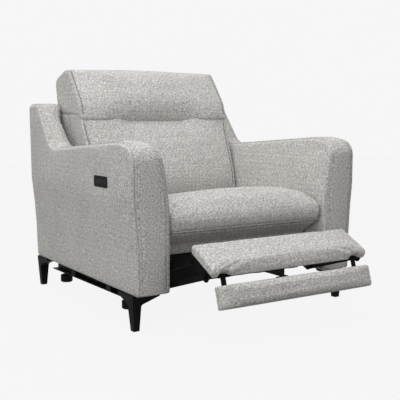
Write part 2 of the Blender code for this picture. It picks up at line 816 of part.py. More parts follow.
def build_leg(label, side, end, y, step):
    x = side * (ARM_FOOT_OUTER - LEG_INSET_X - arm_taper(y))
    half = LEG_TOP_SIZE / 2
    name = f"{end}_{label}_leg"
    leg = prism(name, leg_wing_outline(y, step), "x", x - half, x + half)
    taper(leg, "x", x)
    wing = prism(f"{name}_wing", leg_cross_wing(x, -side), "y", y - half * 0.9, y + half * 0.9)
    fuse(leg, wing)
    finish(leg, BLACK_PLASTIC)


def build_base(label, side):
    low = BASE_RAIL_X
    wall = BASE_RAIL_WALL
    bottom = BASE_RAIL_BOTTOM_Z
    corners = [
        (low, bottom),
        (low + BASE_RAIL_WIDTH, bottom),
        (low + BASE_RAIL_WIDTH, bottom + wall),
        (low + wall, bottom + wall),
        (low + wall, bottom + BASE_RAIL_HEIGHT),
        (low, bottom + BASE_RAIL_HEIGHT),
    ]
    outline = [(side * a, b) for a, b in corners]
    rail = prism(f"{label}_base_rail", outline, "y", BASE_RAIL_FRONT_Y, BASE_RAIL_REAR_Y)
    x0, x1 = between(side, low + BASE_RAIL_WIDTH - UPSTAND_WIDTH, low + BASE_RAIL_WIDTH - FIT_GAP)
    for i, y in enumerate(UPSTAND_Y):
        corner = (x1, y + UPSTAND_LENGTH / 2, LEG_TOP_Z)
        fuse(rail, slab(f"{label}_upstand_{i}", (x0, y - UPSTAND_LENGTH / 2, bottom + wall / 2), corner))
    finish(rail, BLACK_STEEL)
    top = bottom - FIT_GAP
    edge = 0.004
    profile = [
        (0, top),
        (FOOT_STEM_RADIUS, top),
        (FOOT_STEM_RADIUS, FOOT_TOP_Z),
        (FOOT_RADIUS - edge, FOOT_TOP_Z),
        (FOOT_RADIUS, FOOT_TOP_Z - edge),
        (FOOT_RADIUS, FOOT_BOTTOM_Z + edge),
        (FOOT_RADIUS - edge, FOOT_BOTTOM_Z),
        (0, FOOT_BOTTOM_Z),
    ]
    x = side * (low + BASE_RAIL_WIDTH / 2)
    for end, y in (("front", FOOT_FRONT_Y), ("rear", FOOT_REAR_Y)):
        foot = turned(f"{end}_{label}_foot", profile, (x, y, 0))
        finish(foot, BLACK_PLASTIC)


# Side plates, cross tubes and seat

def side_plate_outline():
    """A steel plate with two legs down to the base rail, seen from the side."""
    front = DRIVE_AXIS[0] - 0.031
    foot = BASE_RAIL_BOTTOM_Z + BASE_RAIL_WALL
    top = SEAT_FRAME_TOP_Z - 0.004
    rear = BACK_AXIS[0] + 0.040
    half = PLATE_LEG_WIDTH / 2
    return rounded(
        [
            (front, DRIVE_AXIS[1] - 0.023, 0.015),
            (front + 0.055, DRIVE_AXIS[1] - 0.048, 0.030),
            (PLATE_LEG_Y - half - 0.020, CROSS_TUBE_Z - 0.030, 0.030),
            (PLATE_LEG_Y - half, foot, 0.0),
            (PLATE_LEG_Y + half, foot, 0.0),
            (PLATE_LEG_Y + half - 0.010, CROSS_TUBE_Z - 0.038, PLATE_ARCH_RADIUS),
            (CROSS_TUBE_REAR_Y - 0.005, CROSS_TUBE_Z - 0.038, PLATE_ARCH_RADIUS),
            (FOOT_REAR_Y - 0.090, foot, 0.0),
            (FOOT_REAR_Y - 0.040, foot, 0.0),
            (BACK_AXIS[0] - 0.015, BACK_AXIS[1] - 0.060, 0.030),
            (rear, BACK_AXIS[1] - 0.030, 0.020),
            (rear, BACK_AXIS[1] + 0.020, 0.020),
            (SEAT_REAR_RAIL_Y + 0.020, top, 0.030),
            (front + 0.065, top, 0.030),
            (front, DRIVE_AXIS[1] + 0.012, 0.020),
        ]
    )


def build_side_plate(label, side):
    bore = PIN_RADIUS + PIN_CLEARANCE
    holes = [circle(p, bore) for p in (DRIVE_AXIS, PIVOT_C, BACK_AXIS)]
    low, high = between(side, SIDE_PLATE_INNER, SIDE_PLATE_X)
    plate = prism(f"{label}_side_plate", side_plate_outline(), "x", low, high, holes)
    foot = BASE_RAIL_BOTTOM_Z + BASE_RAIL_WALL + 0.002
    height = BASE_RAIL_HEIGHT - 0.010
    inner, outer = SIDE_PLATE_INNER + 0.001, BASE_RAIL_X - FIT_GAP
    x0, x1 = between(side, inner, outer)
    for i, y in enumerate((PLATE_LEG_Y, FOOT_REAR_Y - 0.066)):
        boss = slab(f"{label}_plate_boss_{i}", (x0, y - 0.017, foot), (x1, y + 0.017, foot + height))
        fuse(plate, boss)
    finish(plate, BLACK_STEEL)


def tube_along_x(name, place, radius, half_length):
    return pin(name, place, radius, -half_length, half_length)


def build_cross_tubes():
    half = SIDE_PLATE_INNER - FIT_GAP
    for name, y in (("mid_cross_tube", CROSS_TUBE_MID_Y), ("rear_cross_tube", CROSS_TUBE_REAR_Y)):
        finish(tube_along_x(name, (y, CROSS_TUBE_Z), CROSS_TUBE_RADIUS, half), BLACK_STEEL)


def build_seat():
    top = SEAT_FRAME_TOP_Z
    outer = SIDE_PLATE_INNER - FIT_GAP
    inner = outer - SEAT_SIDE_RAIL_WIDTH
    front_y = SEAT_FRONT_RAIL_Y + SEAT_RAIL_THICKNESS
    front = slab(
        "seat_front_rail",
        (-SEAT_FRONT_RAIL_HALF, SEAT_FRONT_RAIL_Y, SEAT_FRONT_RAIL_BOTTOM_Z),
        (SEAT_FRONT_RAIL_HALF, front_y, top),
    )
    soften(front, 0.003)
    finish(front, FABRIC)
    run = (front_y + FIT_GAP, SEAT_REAR_RAIL_Y - FIT_GAP)
    rear_y = SEAT_REAR_RAIL_Y + SEAT_RAIL_THICKNESS
    outline = [
        (-outer, run[0]),
        (-inner, run[0]),
        (-inner, SEAT_REAR_RAIL_Y),
        (inner, SEAT_REAR_RAIL_Y),
        (inner, run[0]),
        (outer, run[0]),
        (outer, rear_y),
        (-outer, rear_y),
    ]
    finish(prism("seat_frame", outline, "z", SEAT_FRAME_BOTTOM_Z, top), TIMBER)
    deck = slab(
        "seat_deck",
        (-inner + FIT_GAP, run[0], top - SEAT_DECK_THICKNESS),
        (inner - FIT_GAP, run[1], top),
    )
    finish(deck, WEBBING)
    build_seat_cushion()


def build_seat_cushion():
    base = SEAT_FRAME_TOP_Z + FIT_GAP
    lip_rear = SEAT_FRONT_RAIL_Y - FIT_GAP
    outline = rounded(
        [
            (SEAT_FRONT_Y, SEAT_LIP_Z, 0.022),
            (lip_rear, SEAT_LIP_Z, 0.010),
            (lip_rear, base, 0.0),
            (SEAT_REAR_Y, base, 0.0),
            (SEAT_REAR_Y, SEAT_REAR_Z, 0.016),
            (SEAT_CROWN_Y, SEAT_CROWN_Z, 0.400),
            (SEAT_FRONT_Y + 0.028, SEAT_CROWN_Z - 0.010, 0.050),
            (SEAT_FRONT_Y - 0.004, SEAT_CROWN_Z - 0.060, 0.060),
        ]
    )
    cushion = prism("seat_cushion", outline, "x", -SEAT_HALF_WIDTH, SEAT_HALF_WIDTH)
    places = [SEAT_HALF_WIDTH * share for share in (-0.8, -0.4, 0.0, 0.4, 0.8)]
    slice_mesh(cushion, "x", places)
    crown(cushion, SEAT_HALF_WIDTH, SEAT_CROWN, (0, 0, 1))
    crown(cushion, SEAT_HALF_WIDTH, SEAT_CROWN / 2, (0, -1, 0))
    soften(cushion, 0.014, 3)
    finish(cushion, FABRIC)


# Footrest linkage

def headed_pin(name, place, side, inner, outer, head_side):
    """A rivet from inner to outer, with its head beyond the outer end (1) or the inner end (-1)."""
    low, high = between(side, inner, outer)
    shank = pin(f"{name}_shank", place, PIN_RADIUS, low, high)
    face = outer if head_side > 0 else inner
    edge = face + head_side * PIN_HEAD_THICKNESS
    overlap = face - head_side * FIT_GAP
    head = pin(f"{name}_head", place, PIN_HEAD_RADIUS, side * overlap, side * edge)
    return shank, head


def build_drive_links(pivot):
    bore_reach = RUNNING_GAP
    for label, side in SIDES:
        low, high = between(side, DRIVE_X - LINK_THICKNESS, DRIVE_X)
        outline = link_outline([DRIVE_AXIS, PIVOT_B, PIVOT_G], LINK_HALF_WIDTH + 0.001)
        link = prism(f"{label}_drive_link", outline, "x", low, high)
        middle = DRIVE_X - LINK_THICKNESS / 2
        fuse(link, *headed_pin(f"{label}_drive_b", PIVOT_B, side, middle, CARRIER_X + bore_reach / 2, 1))
        fuse(link, *headed_pin(f"{label}_drive_g", PIVOT_G, side, middle, TIE_X + bore_reach / 2, 1))
        axle = pin(f"{label}_drive_a", DRIVE_AXIS, PIN_RADIUS, side * (BRACKET_X + FIT_GAP), side * middle)
        fuse(link, axle)
        finish(link, BLACK_STEEL, pivot)


def fork_outline(axis, reach_angle, length):
    """A lever from an axis with an open slot at its far end; the angle is measured from straight down."""
    slot_root = length - 0.038
    half = FORK_WIDTH / 2
    gap = FORK_SLOT / 2
    corners = [
        (-half, -length, 0.003),
        (-gap, -length, 0.0),
        (-gap, -slot_root, gap * 0.9),
        (gap, -slot_root, gap * 0.9),
        (gap, -length, 0.0),
        (half, -length, 0.003),
        (half, -slot_root + 0.010, 0.010),
        (0.012, 0.004, 0.004),
        (-0.012, 0.004, 0.004),
        (-half, -slot_root + 0.010, 0.010),
    ]
    turn = Matrix.Rotation(reach_angle, 2)
    return [add(axis, turn @ Vector(point)) for point in rounded(corners)]


def build_drive_tube(pivot):
    half = BRACKET_X - RUNNING_GAP / 2
    tube = tube_along_x("drive_tube", DRIVE_AXIS, DRIVE_TUBE_RADIUS, half)
    middle = (FOOTREST_CLOSED + FOOTREST_OPEN) / 2
    outline = fork_outline(DRIVE_AXIS, middle, FOOTREST_FORK_LENGTH)
    x = FOOTREST_MOTOR_X
    fork = prism("drive_fork", outline, "x", x - FORK_THICKNESS / 2, x + FORK_THICKNESS / 2)
    fuse(tube, fork)
    finish(tube, BLACK_STEEL, pivot)


def build_rear_links(pivot):
    for label, side in SIDES:
        low, high = between(side, DRIVE_X - LINK_THICKNESS, DRIVE_X)
        link = prism(f"{label}_rear_link", link_outline([PIVOT_C, PIVOT_D], LINK_HALF_WIDTH), "x", low, high)
        middle = DRIVE_X - LINK_THICKNESS / 2
        inner = SIDE_PLATE_INNER - RUNNING_GAP / 2
        fuse(link, *headed_pin(f"{label}_rear_c", PIVOT_C, side, inner, middle, -1))
        fuse(link, *headed_pin(f"{label}_rear_d", PIVOT_D, side, middle, CARRIER_X + RUNNING_GAP / 2, 1))
        finish(link, BLACK_STEEL, pivot)


def build_plain_links(name, pivots, outer, pivot, half_width):
    bore = PIN_RADIUS + PIN_CLEARANCE
    holes = [circle(p, bore) for p in pivots]
    for label, side in SIDES:
        low, high = between(side, outer - LINK_THICKNESS, outer)
        link = prism(f"{label}_{name}", link_outline(pivots, half_width), "x", low, high, holes)
        finish(link, BLACK_STEEL, pivot)


# Footrest pads, boards and brackets

def pad_outline(length, low, high, inset, radius, place):
    corners = [
        (-length + inset, low, radius),
        (-inset, low, radius),
        (-inset, high, radius),
        (-length + inset, high, radius),
    ]
    return [place(point) for point in rounded(corners)]


def build_soft_pad(name, outline, half_width, way, pivot):
    pad = prism(name, outline, "x", -half_width, half_width)
    slice_mesh(pad, "x", [half_width * share for share in (-0.8, -0.4, 0.0, 0.4, 0.8)])
    crown(pad, half_width, PAD_CROWN, way)
    soften(pad, 0.008, 2)
    finish(pad, FABRIC, pivot)


def build_footrest(pivot):
    board_top = -PAD_THICKNESS - FIT_GAP
    board_low = board_top - PAD_BOARD_THICKNESS
    outline = pad_outline(PAD_LENGTH, -PAD_THICKNESS, 0.0, 0.0, 0.010, on_pad)
    face = (0, -sin(PAD_TILT), cos(PAD_TILT))
    build_soft_pad("footrest_pad", outline, PAD_HALF_WIDTH, face, pivot)
    outline = pad_outline(PAD_LENGTH, board_low, board_top, PAD_BOARD_INSET, 0.0, on_pad)
    half = PAD_HALF_WIDTH - PAD_BOARD_INSET
    finish(prism("footrest_board", outline, "x", -half, half), TIMBER, pivot)
    for label, side in SIDES:
        build_footrest_bracket(label, side, board_low - FIT_GAP, pivot)


def build_footrest_bracket(label, side, top, pivot):
    flange_outline = [
        on_pad(p)
        for p in rounded(
            [
                (-PAD_LENGTH + 0.010 + BRACKET_FLANGE_INSET, top - FIT_GAP, 0.0),
                (-PAD_LENGTH + 0.012 + BRACKET_FLANGE_INSET, top - BRACKET_DROP, 0.016),
                (-0.012 - BRACKET_FLANGE_INSET, top - BRACKET_DROP, 0.016),
                (-0.006 - BRACKET_FLANGE_INSET, top - FIT_GAP, 0.0),
            ]
        )
    ]
    low, high = between(side, DRIVE_X - LINK_THICKNESS, DRIVE_X)
    bracket = prism(f"{label}_footrest_bracket", flange_outline, "x", low, high)
    ear_x = FLIPPER_BAR_X - FLIPPER_BAR_WIDTH / 2 - 2 * FIT_GAP - FLIPPER_EAR_THICKNESS
    corners = [
        (-PAD_LENGTH + 0.010, top - BRACKET_FLANGE, 0.0),
        (-0.006, top - BRACKET_FLANGE, 0.0),
        (-0.006, top, 0.0),
        (-PAD_LENGTH + 0.010, top, 0.0),
    ]
    shelf = [on_pad((u, n)) for u, n, _ in corners]
    low, high = between(side, ear_x - BRACKET_FLANGE_INSET, DRIVE_X - LINK_THICKNESS / 2)
    fuse(bracket, prism(f"{label}_bracket_shelf", shelf, "x", low, high))
    knuckle = FLIPPER_KNUCKLE_RADIUS
    u, n = FLIPPER_PIVOT
    ear = rounded(
        [
            (u - knuckle, n - knuckle, 0.006),
            (u + knuckle, n - knuckle, 0.006),
            (u + knuckle, top - FIT_GAP, 0.0),
            (u - knuckle, top - FIT_GAP, 0.0),
        ]
    )
    ear = [on_pad(p) for p in ear]
    far_x = FLIPPER_BAR_X + FLIPPER_BAR_WIDTH / 2 + 2 * FIT_GAP
    for i, x in enumerate((ear_x, far_x)):
        low, high = between(side, x, x + FLIPPER_EAR_THICKNESS)
        fuse(bracket, prism(f"{label}_bracket_ear_{i}", ear, "x", low, high))
    x0, x1 = ear_x + FIT_GAP, far_x + FLIPPER_EAR_THICKNESS - FIT_GAP
    fuse(bracket, pin(f"{label}_flipper_pin", PIVOT_J, FLIPPER_PIN_RADIUS, side * x0, side * x1))
    clear = BRACKET_FLANGE * 2
    reach = FLIPPER_BAR_WIDTH / 2 + FIT_GAP
    cutter_low, cutter_high = between(side, FLIPPER_BAR_X - reach, FLIPPER_BAR_X + reach)
    window = [
        on_pad(p)
        for p in (
            (u - knuckle - 0.004, top - clear),
            (0.010, top - clear),
            (0.010, top + FIT_GAP / 2),
            (u - knuckle - 0.004, top + FIT_GAP / 2),
        )
    ]
    cut(bracket, prism(f"{label}_bracket_window", window, "x", cutter_low, cutter_high))
    middle = DRIVE_X - LINK_THICKNESS / 2
    fuse(bracket, *headed_pin(f"{label}_bracket_e", PIVOT_E, side, middle, CARRIER_X + RUNNING_GAP / 2, 1))
    fuse(bracket, *headed_pin(f"{label}_bracket_h", PIVOT_H, side, middle, TIE_X + RUNNING_GAP / 2, 1))
    finish(bracket, BLACK_STEEL, pivot)


def build_flipper(pivot):
    bar_low = FLIPPER_KNUCKLE_RADIUS - FLIPPER_BAR_THICKNESS / 2
    bar_high = bar_low + FLIPPER_BAR_THICKNESS
    board_low = bar_high + FIT_GAP
    pad_low = FLIPPER_FACE - FLIPPER_THICKNESS
    board_high = pad_low - FIT_GAP
    end = FLIPPER_GAP + FLIPPER_LENGTH

    def slab_outline(start, stop, low, high, radius):
        corners = [(start, low, radius), (stop, low, radius), (stop, high, radius), (start, high, radius)]
        return [on_flipper(p) for p in rounded(corners)]

    outline = slab_outline(FLIPPER_GAP, end, pad_low, FLIPPER_FACE, 0.010)
    lean = PAD_TILT + FLIPPER_FOLD
    build_soft_pad("flipper_pad", outline, FLIPPER_HALF_WIDTH, (0, -sin(lean), cos(lean)), pivot)
    inset = 0.005
    outline = slab_outline(FLIPPER_GAP + inset, end - inset, board_low, board_high, 0.0)
    half = FLIPPER_HALF_WIDTH - PAD_BOARD_INSET
    finish(prism("flipper_board", outline, "x", -half, half), TIMBER, pivot)
    for label, side in SIDES:
        inner = FLIPPER_BAR_X - FLIPPER_BAR_WIDTH / 2
        low, high = between(side, inner, inner + FLIPPER_BAR_WIDTH)
        bore = [circle(PIVOT_J, FLIPPER_PIN_RADIUS + FIT_GAP)]
        knuckle = circle(PIVOT_J, FLIPPER_KNUCKLE_RADIUS - FIT_GAP)
        bar = prism(f"{label}_flipper_bar", knuckle, "x", low, high, bore)
        strip = slab_outline(0.002, end - FLIPPER_LENGTH * 0.25, bar_low, bar_high, 0.0)
        fuse(bar, prism(f"{label}_flipper_strip", strip, "x", low, high))
        finish(bar, BLACK_STEEL, pivot)


# Motors

def channel_outline(x, low):
    """A steel channel, open upwards, seen along its length."""
    half = MOTOR_HALF_WIDTH * 0.7
    wall = RAIL_WALL
    top = low + RAIL_HEIGHT
    return [
        (x - half, low),
        (x + half, low),
        (x + half, top),
        (x + half - wall, top),
        (x + half - wall, low + wall),
        (x - half + wall, low + wall),
        (x - half + wall, top),
        (x - half, top),
    ]


def build_motor(name, x, pin_z, base_top, run, block_y, motor_first, hangers, pivot):
    """A motor on the end of a channel, and the drive block that its screw moves along the channel."""
    base_low = base_top - BLOCK_BASE_HEIGHT
    rail_top = base_low - FIT_GAP
    rail_low = rail_top - RAIL_HEIGHT
    rail = prism(f"{name}_motor_rail", channel_outline(x, rail_low), "y", *run)
    tube_low = CROSS_TUBE_Z - CROSS_TUBE_RADIUS - FIT_GAP
    half = MOTOR_HALF_WIDTH * 0.7
    for i, y in enumerate(hangers):
        strap_low = (x - half, y - 0.010, rail_low)
        strap_high = (x + half, y + 0.010, tube_low)
        fuse(rail, slab(f"{name}_hanger_{i}", strap_low, strap_high))
    finish(rail, BLACK_STEEL)
    start = run[0] - FIT_GAP - MOTOR_LENGTH if motor_first else run[1] + FIT_GAP
    corners = box_outline((x - MOTOR_HALF_WIDTH, rail_low), (x + MOTOR_HALF_WIDTH, tube_low), 0.012)
    motor = prism(f"{name}_motor", corners, "y", start, start + MOTOR_LENGTH)
    soften(motor, 0.004)
    finish(motor, BLACK_PLASTIC)
    half = BLOCK_CHEEK + FORK_THICKNESS / 2 + RUNNING_GAP
    low = (x - half, block_y - BLOCK_HALF_LENGTH, base_low)
    high = (x + half, block_y + BLOCK_HALF_LENGTH, base_top)
    block = slab(f"{name}_drive_block", low, high)
    cheek_top = pin_z + BLOCK_PIN_RADIUS + 0.004
    for i, step in enumerate((-1, 1)):
        inner, outer = sorted((x + step * (half - BLOCK_CHEEK), x + step * half))
        corner = (inner, block_y - BLOCK_HALF_LENGTH * 0.7, base_low + FIT_GAP)
        fuse(block, slab(f"{name}_cheek_{i}", corner, (outer, block_y + BLOCK_HALF_LENGTH * 0.7, cheek_top)))
    reach = half - FIT_GAP
    fuse(block, pin(f"{name}_block_pin", (block_y, pin_z), BLOCK_PIN_RADIUS, x - reach, x + reach))
    finish(block, BLACK_STEEL, pivot)


# Back

def back_half_width(z):
    table = [(BACK_FLARE_LOW_Z, BACK_LOW_HALF_WIDTH), (BACK_FLARE_TOP_Z, BACK_TOP_HALF_WIDTH)]
    return blend_table(table, z)


def frame_y(z):
    return BACK_FRAME_REF[0] + (z - BACK_FRAME_REF[1]) * tan(BACK_FRAME_LEAN)


def flare(obj):
    def widen(place):
        return Vector((place.x * back_half_width(place.z), place.y, place.z))

    bend(obj, widen)


def build_back_cushion(pivot):
    front = BACK_FRAME_THICKNESS / 2 + FIT_GAP
    slope = (BACK_TUCK_FRONT_Y - BACK_BOTTOM_FRONT_Y) / (BACK_TUCK_Z - BACK_BOTTOM_Z)
    outline = rounded(
        [
            (BACK_BOTTOM_FRONT_Y, BACK_BOTTOM_Z, 0.018),
            (frame_y(BACK_BOTTOM_Z) - front, BACK_BOTTOM_Z, 0.0),
            (frame_y(BACK_TUCK_Z) - front, BACK_TUCK_Z, 0.0),
            (BACK_TUCK_FRONT_Y, BACK_TUCK_Z, 0.016),
        ]
    )
    cushion = prism("back_cushion", outline, "x", -1.0, 1.0)
    rise = BACK_TUCK_Z - BACK_BOTTOM_Z
    slice_mesh(cushion, "z", [BACK_BOTTOM_Z + rise * share for share in (0.2, 0.4, 0.6, 0.8)])
    slice_mesh(cushion, "z", [BACK_FLARE_LOW_Z])
    slice_mesh(cushion, "x", [-0.8, -0.4, 0.0, 0.4, 0.8])
    flare(cushion)

    def swell(place):
        up = (place.z - BACK_BOTTOM_Z) / (BACK_TUCK_Z - BACK_BOTTOM_Z)
        line = BACK_BOTTOM_FRONT_Y + slope * (place.z - BACK_BOTTOM_Z)
        depth = frame_y(place.z) - front - line
        share = max(0.0, 1 - (place.y - line) / depth)
        across = 1 - (place.x / back_half_width(place.z)) ** 4
        push = BACK_LUMBAR_CROWN * sin(pi * min(1, max(0, up))) * across * share
        return Vector((place.x, place.y - push, place.z))

    bend(cushion, swell)
    soften(cushion, 0.010, 2, radians(60))
    finish(cushion, FABRIC, pivot)


def build_back_frame(pivot):
    half = BACK_FRAME_HALF_WIDTH
    rail = BACK_FRAME_RAIL
    low, high = BACK_FRAME_BOTTOM_Z, BACK_FRAME_TOP_Z
    outside = box_outline((-half, low), (half, high))
    window = box_outline((-half + rail, low + rail), (half - rail, high - rail), 0.010)
    frame = prism("back_frame", outside, "y", -BACK_FRAME_THICKNESS / 2, BACK_FRAME_THICKNESS / 2, [window])

    def lean(place):
        return Vector((place.x, place.y + frame_y(place.z), place.z))

    bend(frame, lean)
    finish(frame, TIMBER, pivot)


def build_back_panel(pivot):
    gap = BACK_FRAME_THICKNESS / 2 + FIT_GAP
    low, high = BACK_PANEL_BOTTOM_Z, BACK_PANEL_TOP_Z

    def outline_at(rim, low_z, high_z):
        return rounded(
            [
                (frame_y(low_z) + gap - rim, low_z, 0.0),
                (BACK_PANEL_LOW_Y - (BACK_PANEL_WALL if rim else 0), low_z, 0.0 if rim else 0.012),
                (BACK_PANEL_TOP_Y - (BACK_PANEL_WALL if rim else 0), high_z, 0.0 if rim else 0.012),
                (frame_y(high_z) + gap - rim, high_z, 0.0),
            ]
        )

    panel = prism("back_panel", outline_at(0.0, low, high), "x", -1.0, 1.0)
    slice_mesh(panel, "z", [BACK_FLARE_LOW_Z])
    flare(panel)
    soften(panel, 0.010, 2, radians(60))
    wall = BACK_PANEL_WALL
    inner = outline_at(0.006, low + wall, high - wall)
    half = BACK_LOW_HALF_WIDTH - wall
    cut(panel, prism("back_panel_hollow", inner, "x", -half, half))
    finish(panel, FABRIC, pivot)


def build_back_brackets(pivot):
    for label, side in SIDES:
        low, high = between(side, BRACKET_X - LINK_THICKNESS, BRACKET_X)
        knee = (frame_y(BACK_BRACKET_KNEE_Z), BACK_BRACKET_KNEE_Z)
        top = (frame_y(BACK_BRACKET_TOP_Z), BACK_BRACKET_TOP_Z)
        outline = link_outline([BACK_AXIS, knee, top], BACK_BRACKET_HALF_WIDTH)
        bracket = prism(f"{label}_back_bracket", outline, "x", low, high)
        middle = BRACKET_X - LINK_THICKNESS / 2
        outer = SIDE_PLATE_X + RUNNING_GAP / 2
        fuse(bracket, *headed_pin(f"{label}_back_pin", BACK_AXIS, side, middle, outer, 1))
        finish(bracket, BLACK_STEEL, pivot)


def build_recline_lever(pivot):
    top_z = BACK_FRAME_BOTTOM_Z - FIT_GAP
    outline = fork_outline(BACK_AXIS, BACK_RECLINE / 2, RECLINE_LEVER_LENGTH)
    x = RECLINE_MOTOR_X
    low, high = x - FORK_THICKNESS / 2, x + FORK_THICKNESS / 2
    lever = prism("recline_lever", outline, "x", low, high)
    seat = frame_y(BACK_FRAME_BOTTOM_Z)
    arm = [
        (BACK_AXIS[0] - 0.012, BACK_AXIS[1] - 0.010),
        (BACK_AXIS[0] + 0.012, BACK_AXIS[1] - 0.010),
        (seat + 0.010, top_z),
        (seat - 0.012, top_z),
    ]
    fuse(lever, prism("recline_lever_arm", arm, "x", low, high))
    foot_low = (x - LEVER_FOOT_HALF, seat - 0.012, top_z - LEVER_FOOT_THICKNESS)
    foot_high = (x + LEVER_FOOT_HALF, seat + 0.010, top_z)
    fuse(lever, slab("recline_lever_foot", foot_low, foot_high))
    finish(lever, BLACK_STEEL, pivot)


# Headrest

def build_headrest_rod(pivot):
    reach = HEAD_STRAP_X + HEAD_STRAP_WIDTH / 2
    rod = tube_along_x("headrest_hinge_rod", HEAD_AXIS, HEAD_ROD_RADIUS, reach)
    low_z = BACK_FRAME_TOP_Z + FIT_GAP
    rear = frame_y(BACK_FRAME_TOP_Z) + BACK_FRAME_THICKNESS / 2
    for label, side in SIDES:
        low, high = between(side, HEAD_STRAP_X - HEAD_STRAP_WIDTH / 2, reach - FIT_GAP)
        strap = [
            (HEAD_AXIS[0] - 0.002, HEAD_AXIS[1] - 0.003),
            (HEAD_AXIS[0] + 0.010, BACK_TUCK_Z + 0.003),
            (rear - BACK_FRAME_THICKNESS, BACK_TUCK_Z + 0.001),
            (rear - BACK_FRAME_THICKNESS + 0.004, low_z),
            (rear, low_z),
            (rear, low_z + HEAD_STRAP_THICKNESS),
            (HEAD_AXIS[0] + 0.010, HEAD_AXIS[1] + 0.003),
            (HEAD_AXIS[0] - 0.002, HEAD_AXIS[1] + 0.003),
        ]
        fuse(rod, prism(f"{label}_rod_strap", strap, "x", low, high))
    finish(rod, BLACK_STEEL, pivot)


def build_headrest(pivot):
    half = HEAD_PLATE_HALF_WIDTH
    bore = [circle(HEAD_AXIS, HEAD_ROD_RADIUS + PIN_CLEARANCE)]
    plate = prism("headrest_plate", circle(HEAD_AXIS, HEAD_KNUCKLE_RADIUS), "x", -half, half, bore)
    top = HEAD_BOTTOM_Z - FIT_GAP
    low = top - HEAD_PLATE_THICKNESS
    corner = (half - FIT_GAP, HEAD_AXIS[0] + HEAD_PLATE_DEPTH, top)
    leaf = slab("headrest_leaf", (-half + FIT_GAP, HEAD_AXIS[0], low), corner)
    fuse(plate, leaf)
    finish(plate, BLACK_STEEL, pivot)
    outline = rounded(
        [
            (HEAD_LIP_Y, HEAD_LIP_Z, 0.008),
            (HEAD_AXIS[0] - HEAD_KNUCKLE_RADIUS - 0.002, HEAD_LIP_Z, 0.0),
            (HEAD_AXIS[0] - HEAD_KNUCKLE_RADIUS - 0.002, HEAD_BOTTOM_Z, 0.0),
            (BACK_PANEL_TOP_Y + 0.004, HEAD_BOTTOM_Z, 0.010),
            (HEAD_REAR_Y, HEAD_REAR_Z, 0.030),
            (HEAD_TOP_REAR_Y, HEAD_TOP_Z, 0.060),
            (HEAD_TOP_FRONT_Y, HEAD_TOP_Z, 0.022),
            (HEAD_LIP_Y + 0.010, HEAD_LIP_Z + 0.060, 0.080),
        ]
    )
    cushion = prism("headrest_cushion", outline, "x", -BACK_TOP_HALF_WIDTH, BACK_TOP_HALF_WIDTH)
    slice_mesh(cushion, "x", [BACK_TOP_HALF_WIDTH * share for share in (-0.8, -0.4, 0.0, 0.4, 0.8)])
    lean = atan2(HEAD_TOP_FRONT_Y - HEAD_LIP_Y, HEAD_TOP_Z - HEAD_LIP_Z)
    crown(cushion, BACK_TOP_HALF_WIDTH, HEAD_CROWN, (0, -cos(lean), sin(lean)))
    soften(cushion, 0.012, 2)
    finish(cushion, FABRIC, pivot)


def centre_on_footprint():
    """Moves the chair so that its origin is under the middle of its bounding box."""
    bpy.context.view_layer.update()
    graph = bpy.context.evaluated_depsgraph_get()
    places = []
    for obj in parts.objects:
        if obj.type == "MESH":
            solid = obj.evaluated_get(graph)
            places += [(solid.matrix_world @ Vector(corner)).y for corner in solid.bound_box]
    chair.location.y = -(min(places) + max(places)) / 2
    bpy.context.view_layer.update()


def build_chair():
    for label, side in SIDES:
        build_arm(label, side)
        build_leg(label, side, "front", LEG_FRONT_Y, 1)
        build_leg(label, side, "rear", ARM_DEPTH - LEG_REAR_INSET, -1)
        build_base(label, side)
        build_side_plate(label, side)
    build_cross_tubes()
    build_seat()
    build_switch()

    drive = joint_empty("footrest_drive", on_axis(DRIVE_AXIS))
    rear = joint_empty("rear_links", on_axis(PIVOT_C))
    carrier = joint_empty("carrier_links", on_axis(PIVOT_B), drive)
    tie = joint_empty("tie_links", on_axis(PIVOT_G), drive)
    footrest = joint_empty("footrest", on_axis(PIVOT_E), carrier)
    flipper = joint_empty("flipper", on_axis(PIVOT_J), footrest)
    build_drive_links(drive)
    build_drive_tube(drive)
    build_rear_links(rear)
    build_plain_links("carrier_link", [PIVOT_D, PIVOT_B, PIVOT_E], CARRIER_X, carrier, LINK_HALF_WIDTH)
    build_plain_links("tie_link", [PIVOT_G, PIVOT_H], TIE_X, tie, LINK_HALF_WIDTH - 0.001)
    build_footrest(footrest)
    build_flipper(flipper)

    back = joint_empty("back", on_axis(BACK_AXIS))
    headrest = joint_empty("headrest", on_axis(HEAD_AXIS), back)
    build_back_cushion(back)
    build_back_frame(back)
    build_back_panel(back)
    build_back_brackets(back)
    build_recline_lever(back)
    build_headrest_rod(back)
    build_headrest(headrest)

    fork_angle = -(FOOTREST_CLOSED + FOOTREST_OPEN) / 2
    block_y = DRIVE_AXIS[0] - FOOTREST_FORK_REACH * 1.2 * fork_angle
    pin_z = DRIVE_AXIS[1] - FOOTREST_FORK_REACH
    block = joint_empty("footrest_block", (FOOTREST_MOTOR_X, block_y, pin_z))
    base_top = DRIVE_AXIS[1] - FOOTREST_FORK_LENGTH - 0.005
    hangers = [CROSS_TUBE_MID_Y]
    run = FOOTREST_RAIL_Y
    build_motor("footrest", FOOTREST_MOTOR_X, pin_z, base_top, run, block_y, False, hangers, block)
    lever_y = BACK_AXIS[0] + RECLINE_LEVER_REACH * BACK_RECLINE / 2
    pin_z = BACK_AXIS[1] - RECLINE_LEVER_REACH
    block = joint_empty("recline_block", (RECLINE_MOTOR_X, lever_y, pin_z))
    base_top = BACK_AXIS[1] - RECLINE_LEVER_LENGTH - 0.005
    hangers = [CROSS_TUBE_MID_Y, CROSS_TUBE_REAR_Y]
    build_motor(
        "recline", RECLINE_MOTOR_X, pin_z, base_top, RECLINE_RAIL_Y, lever_y, True, hangers, block
    )


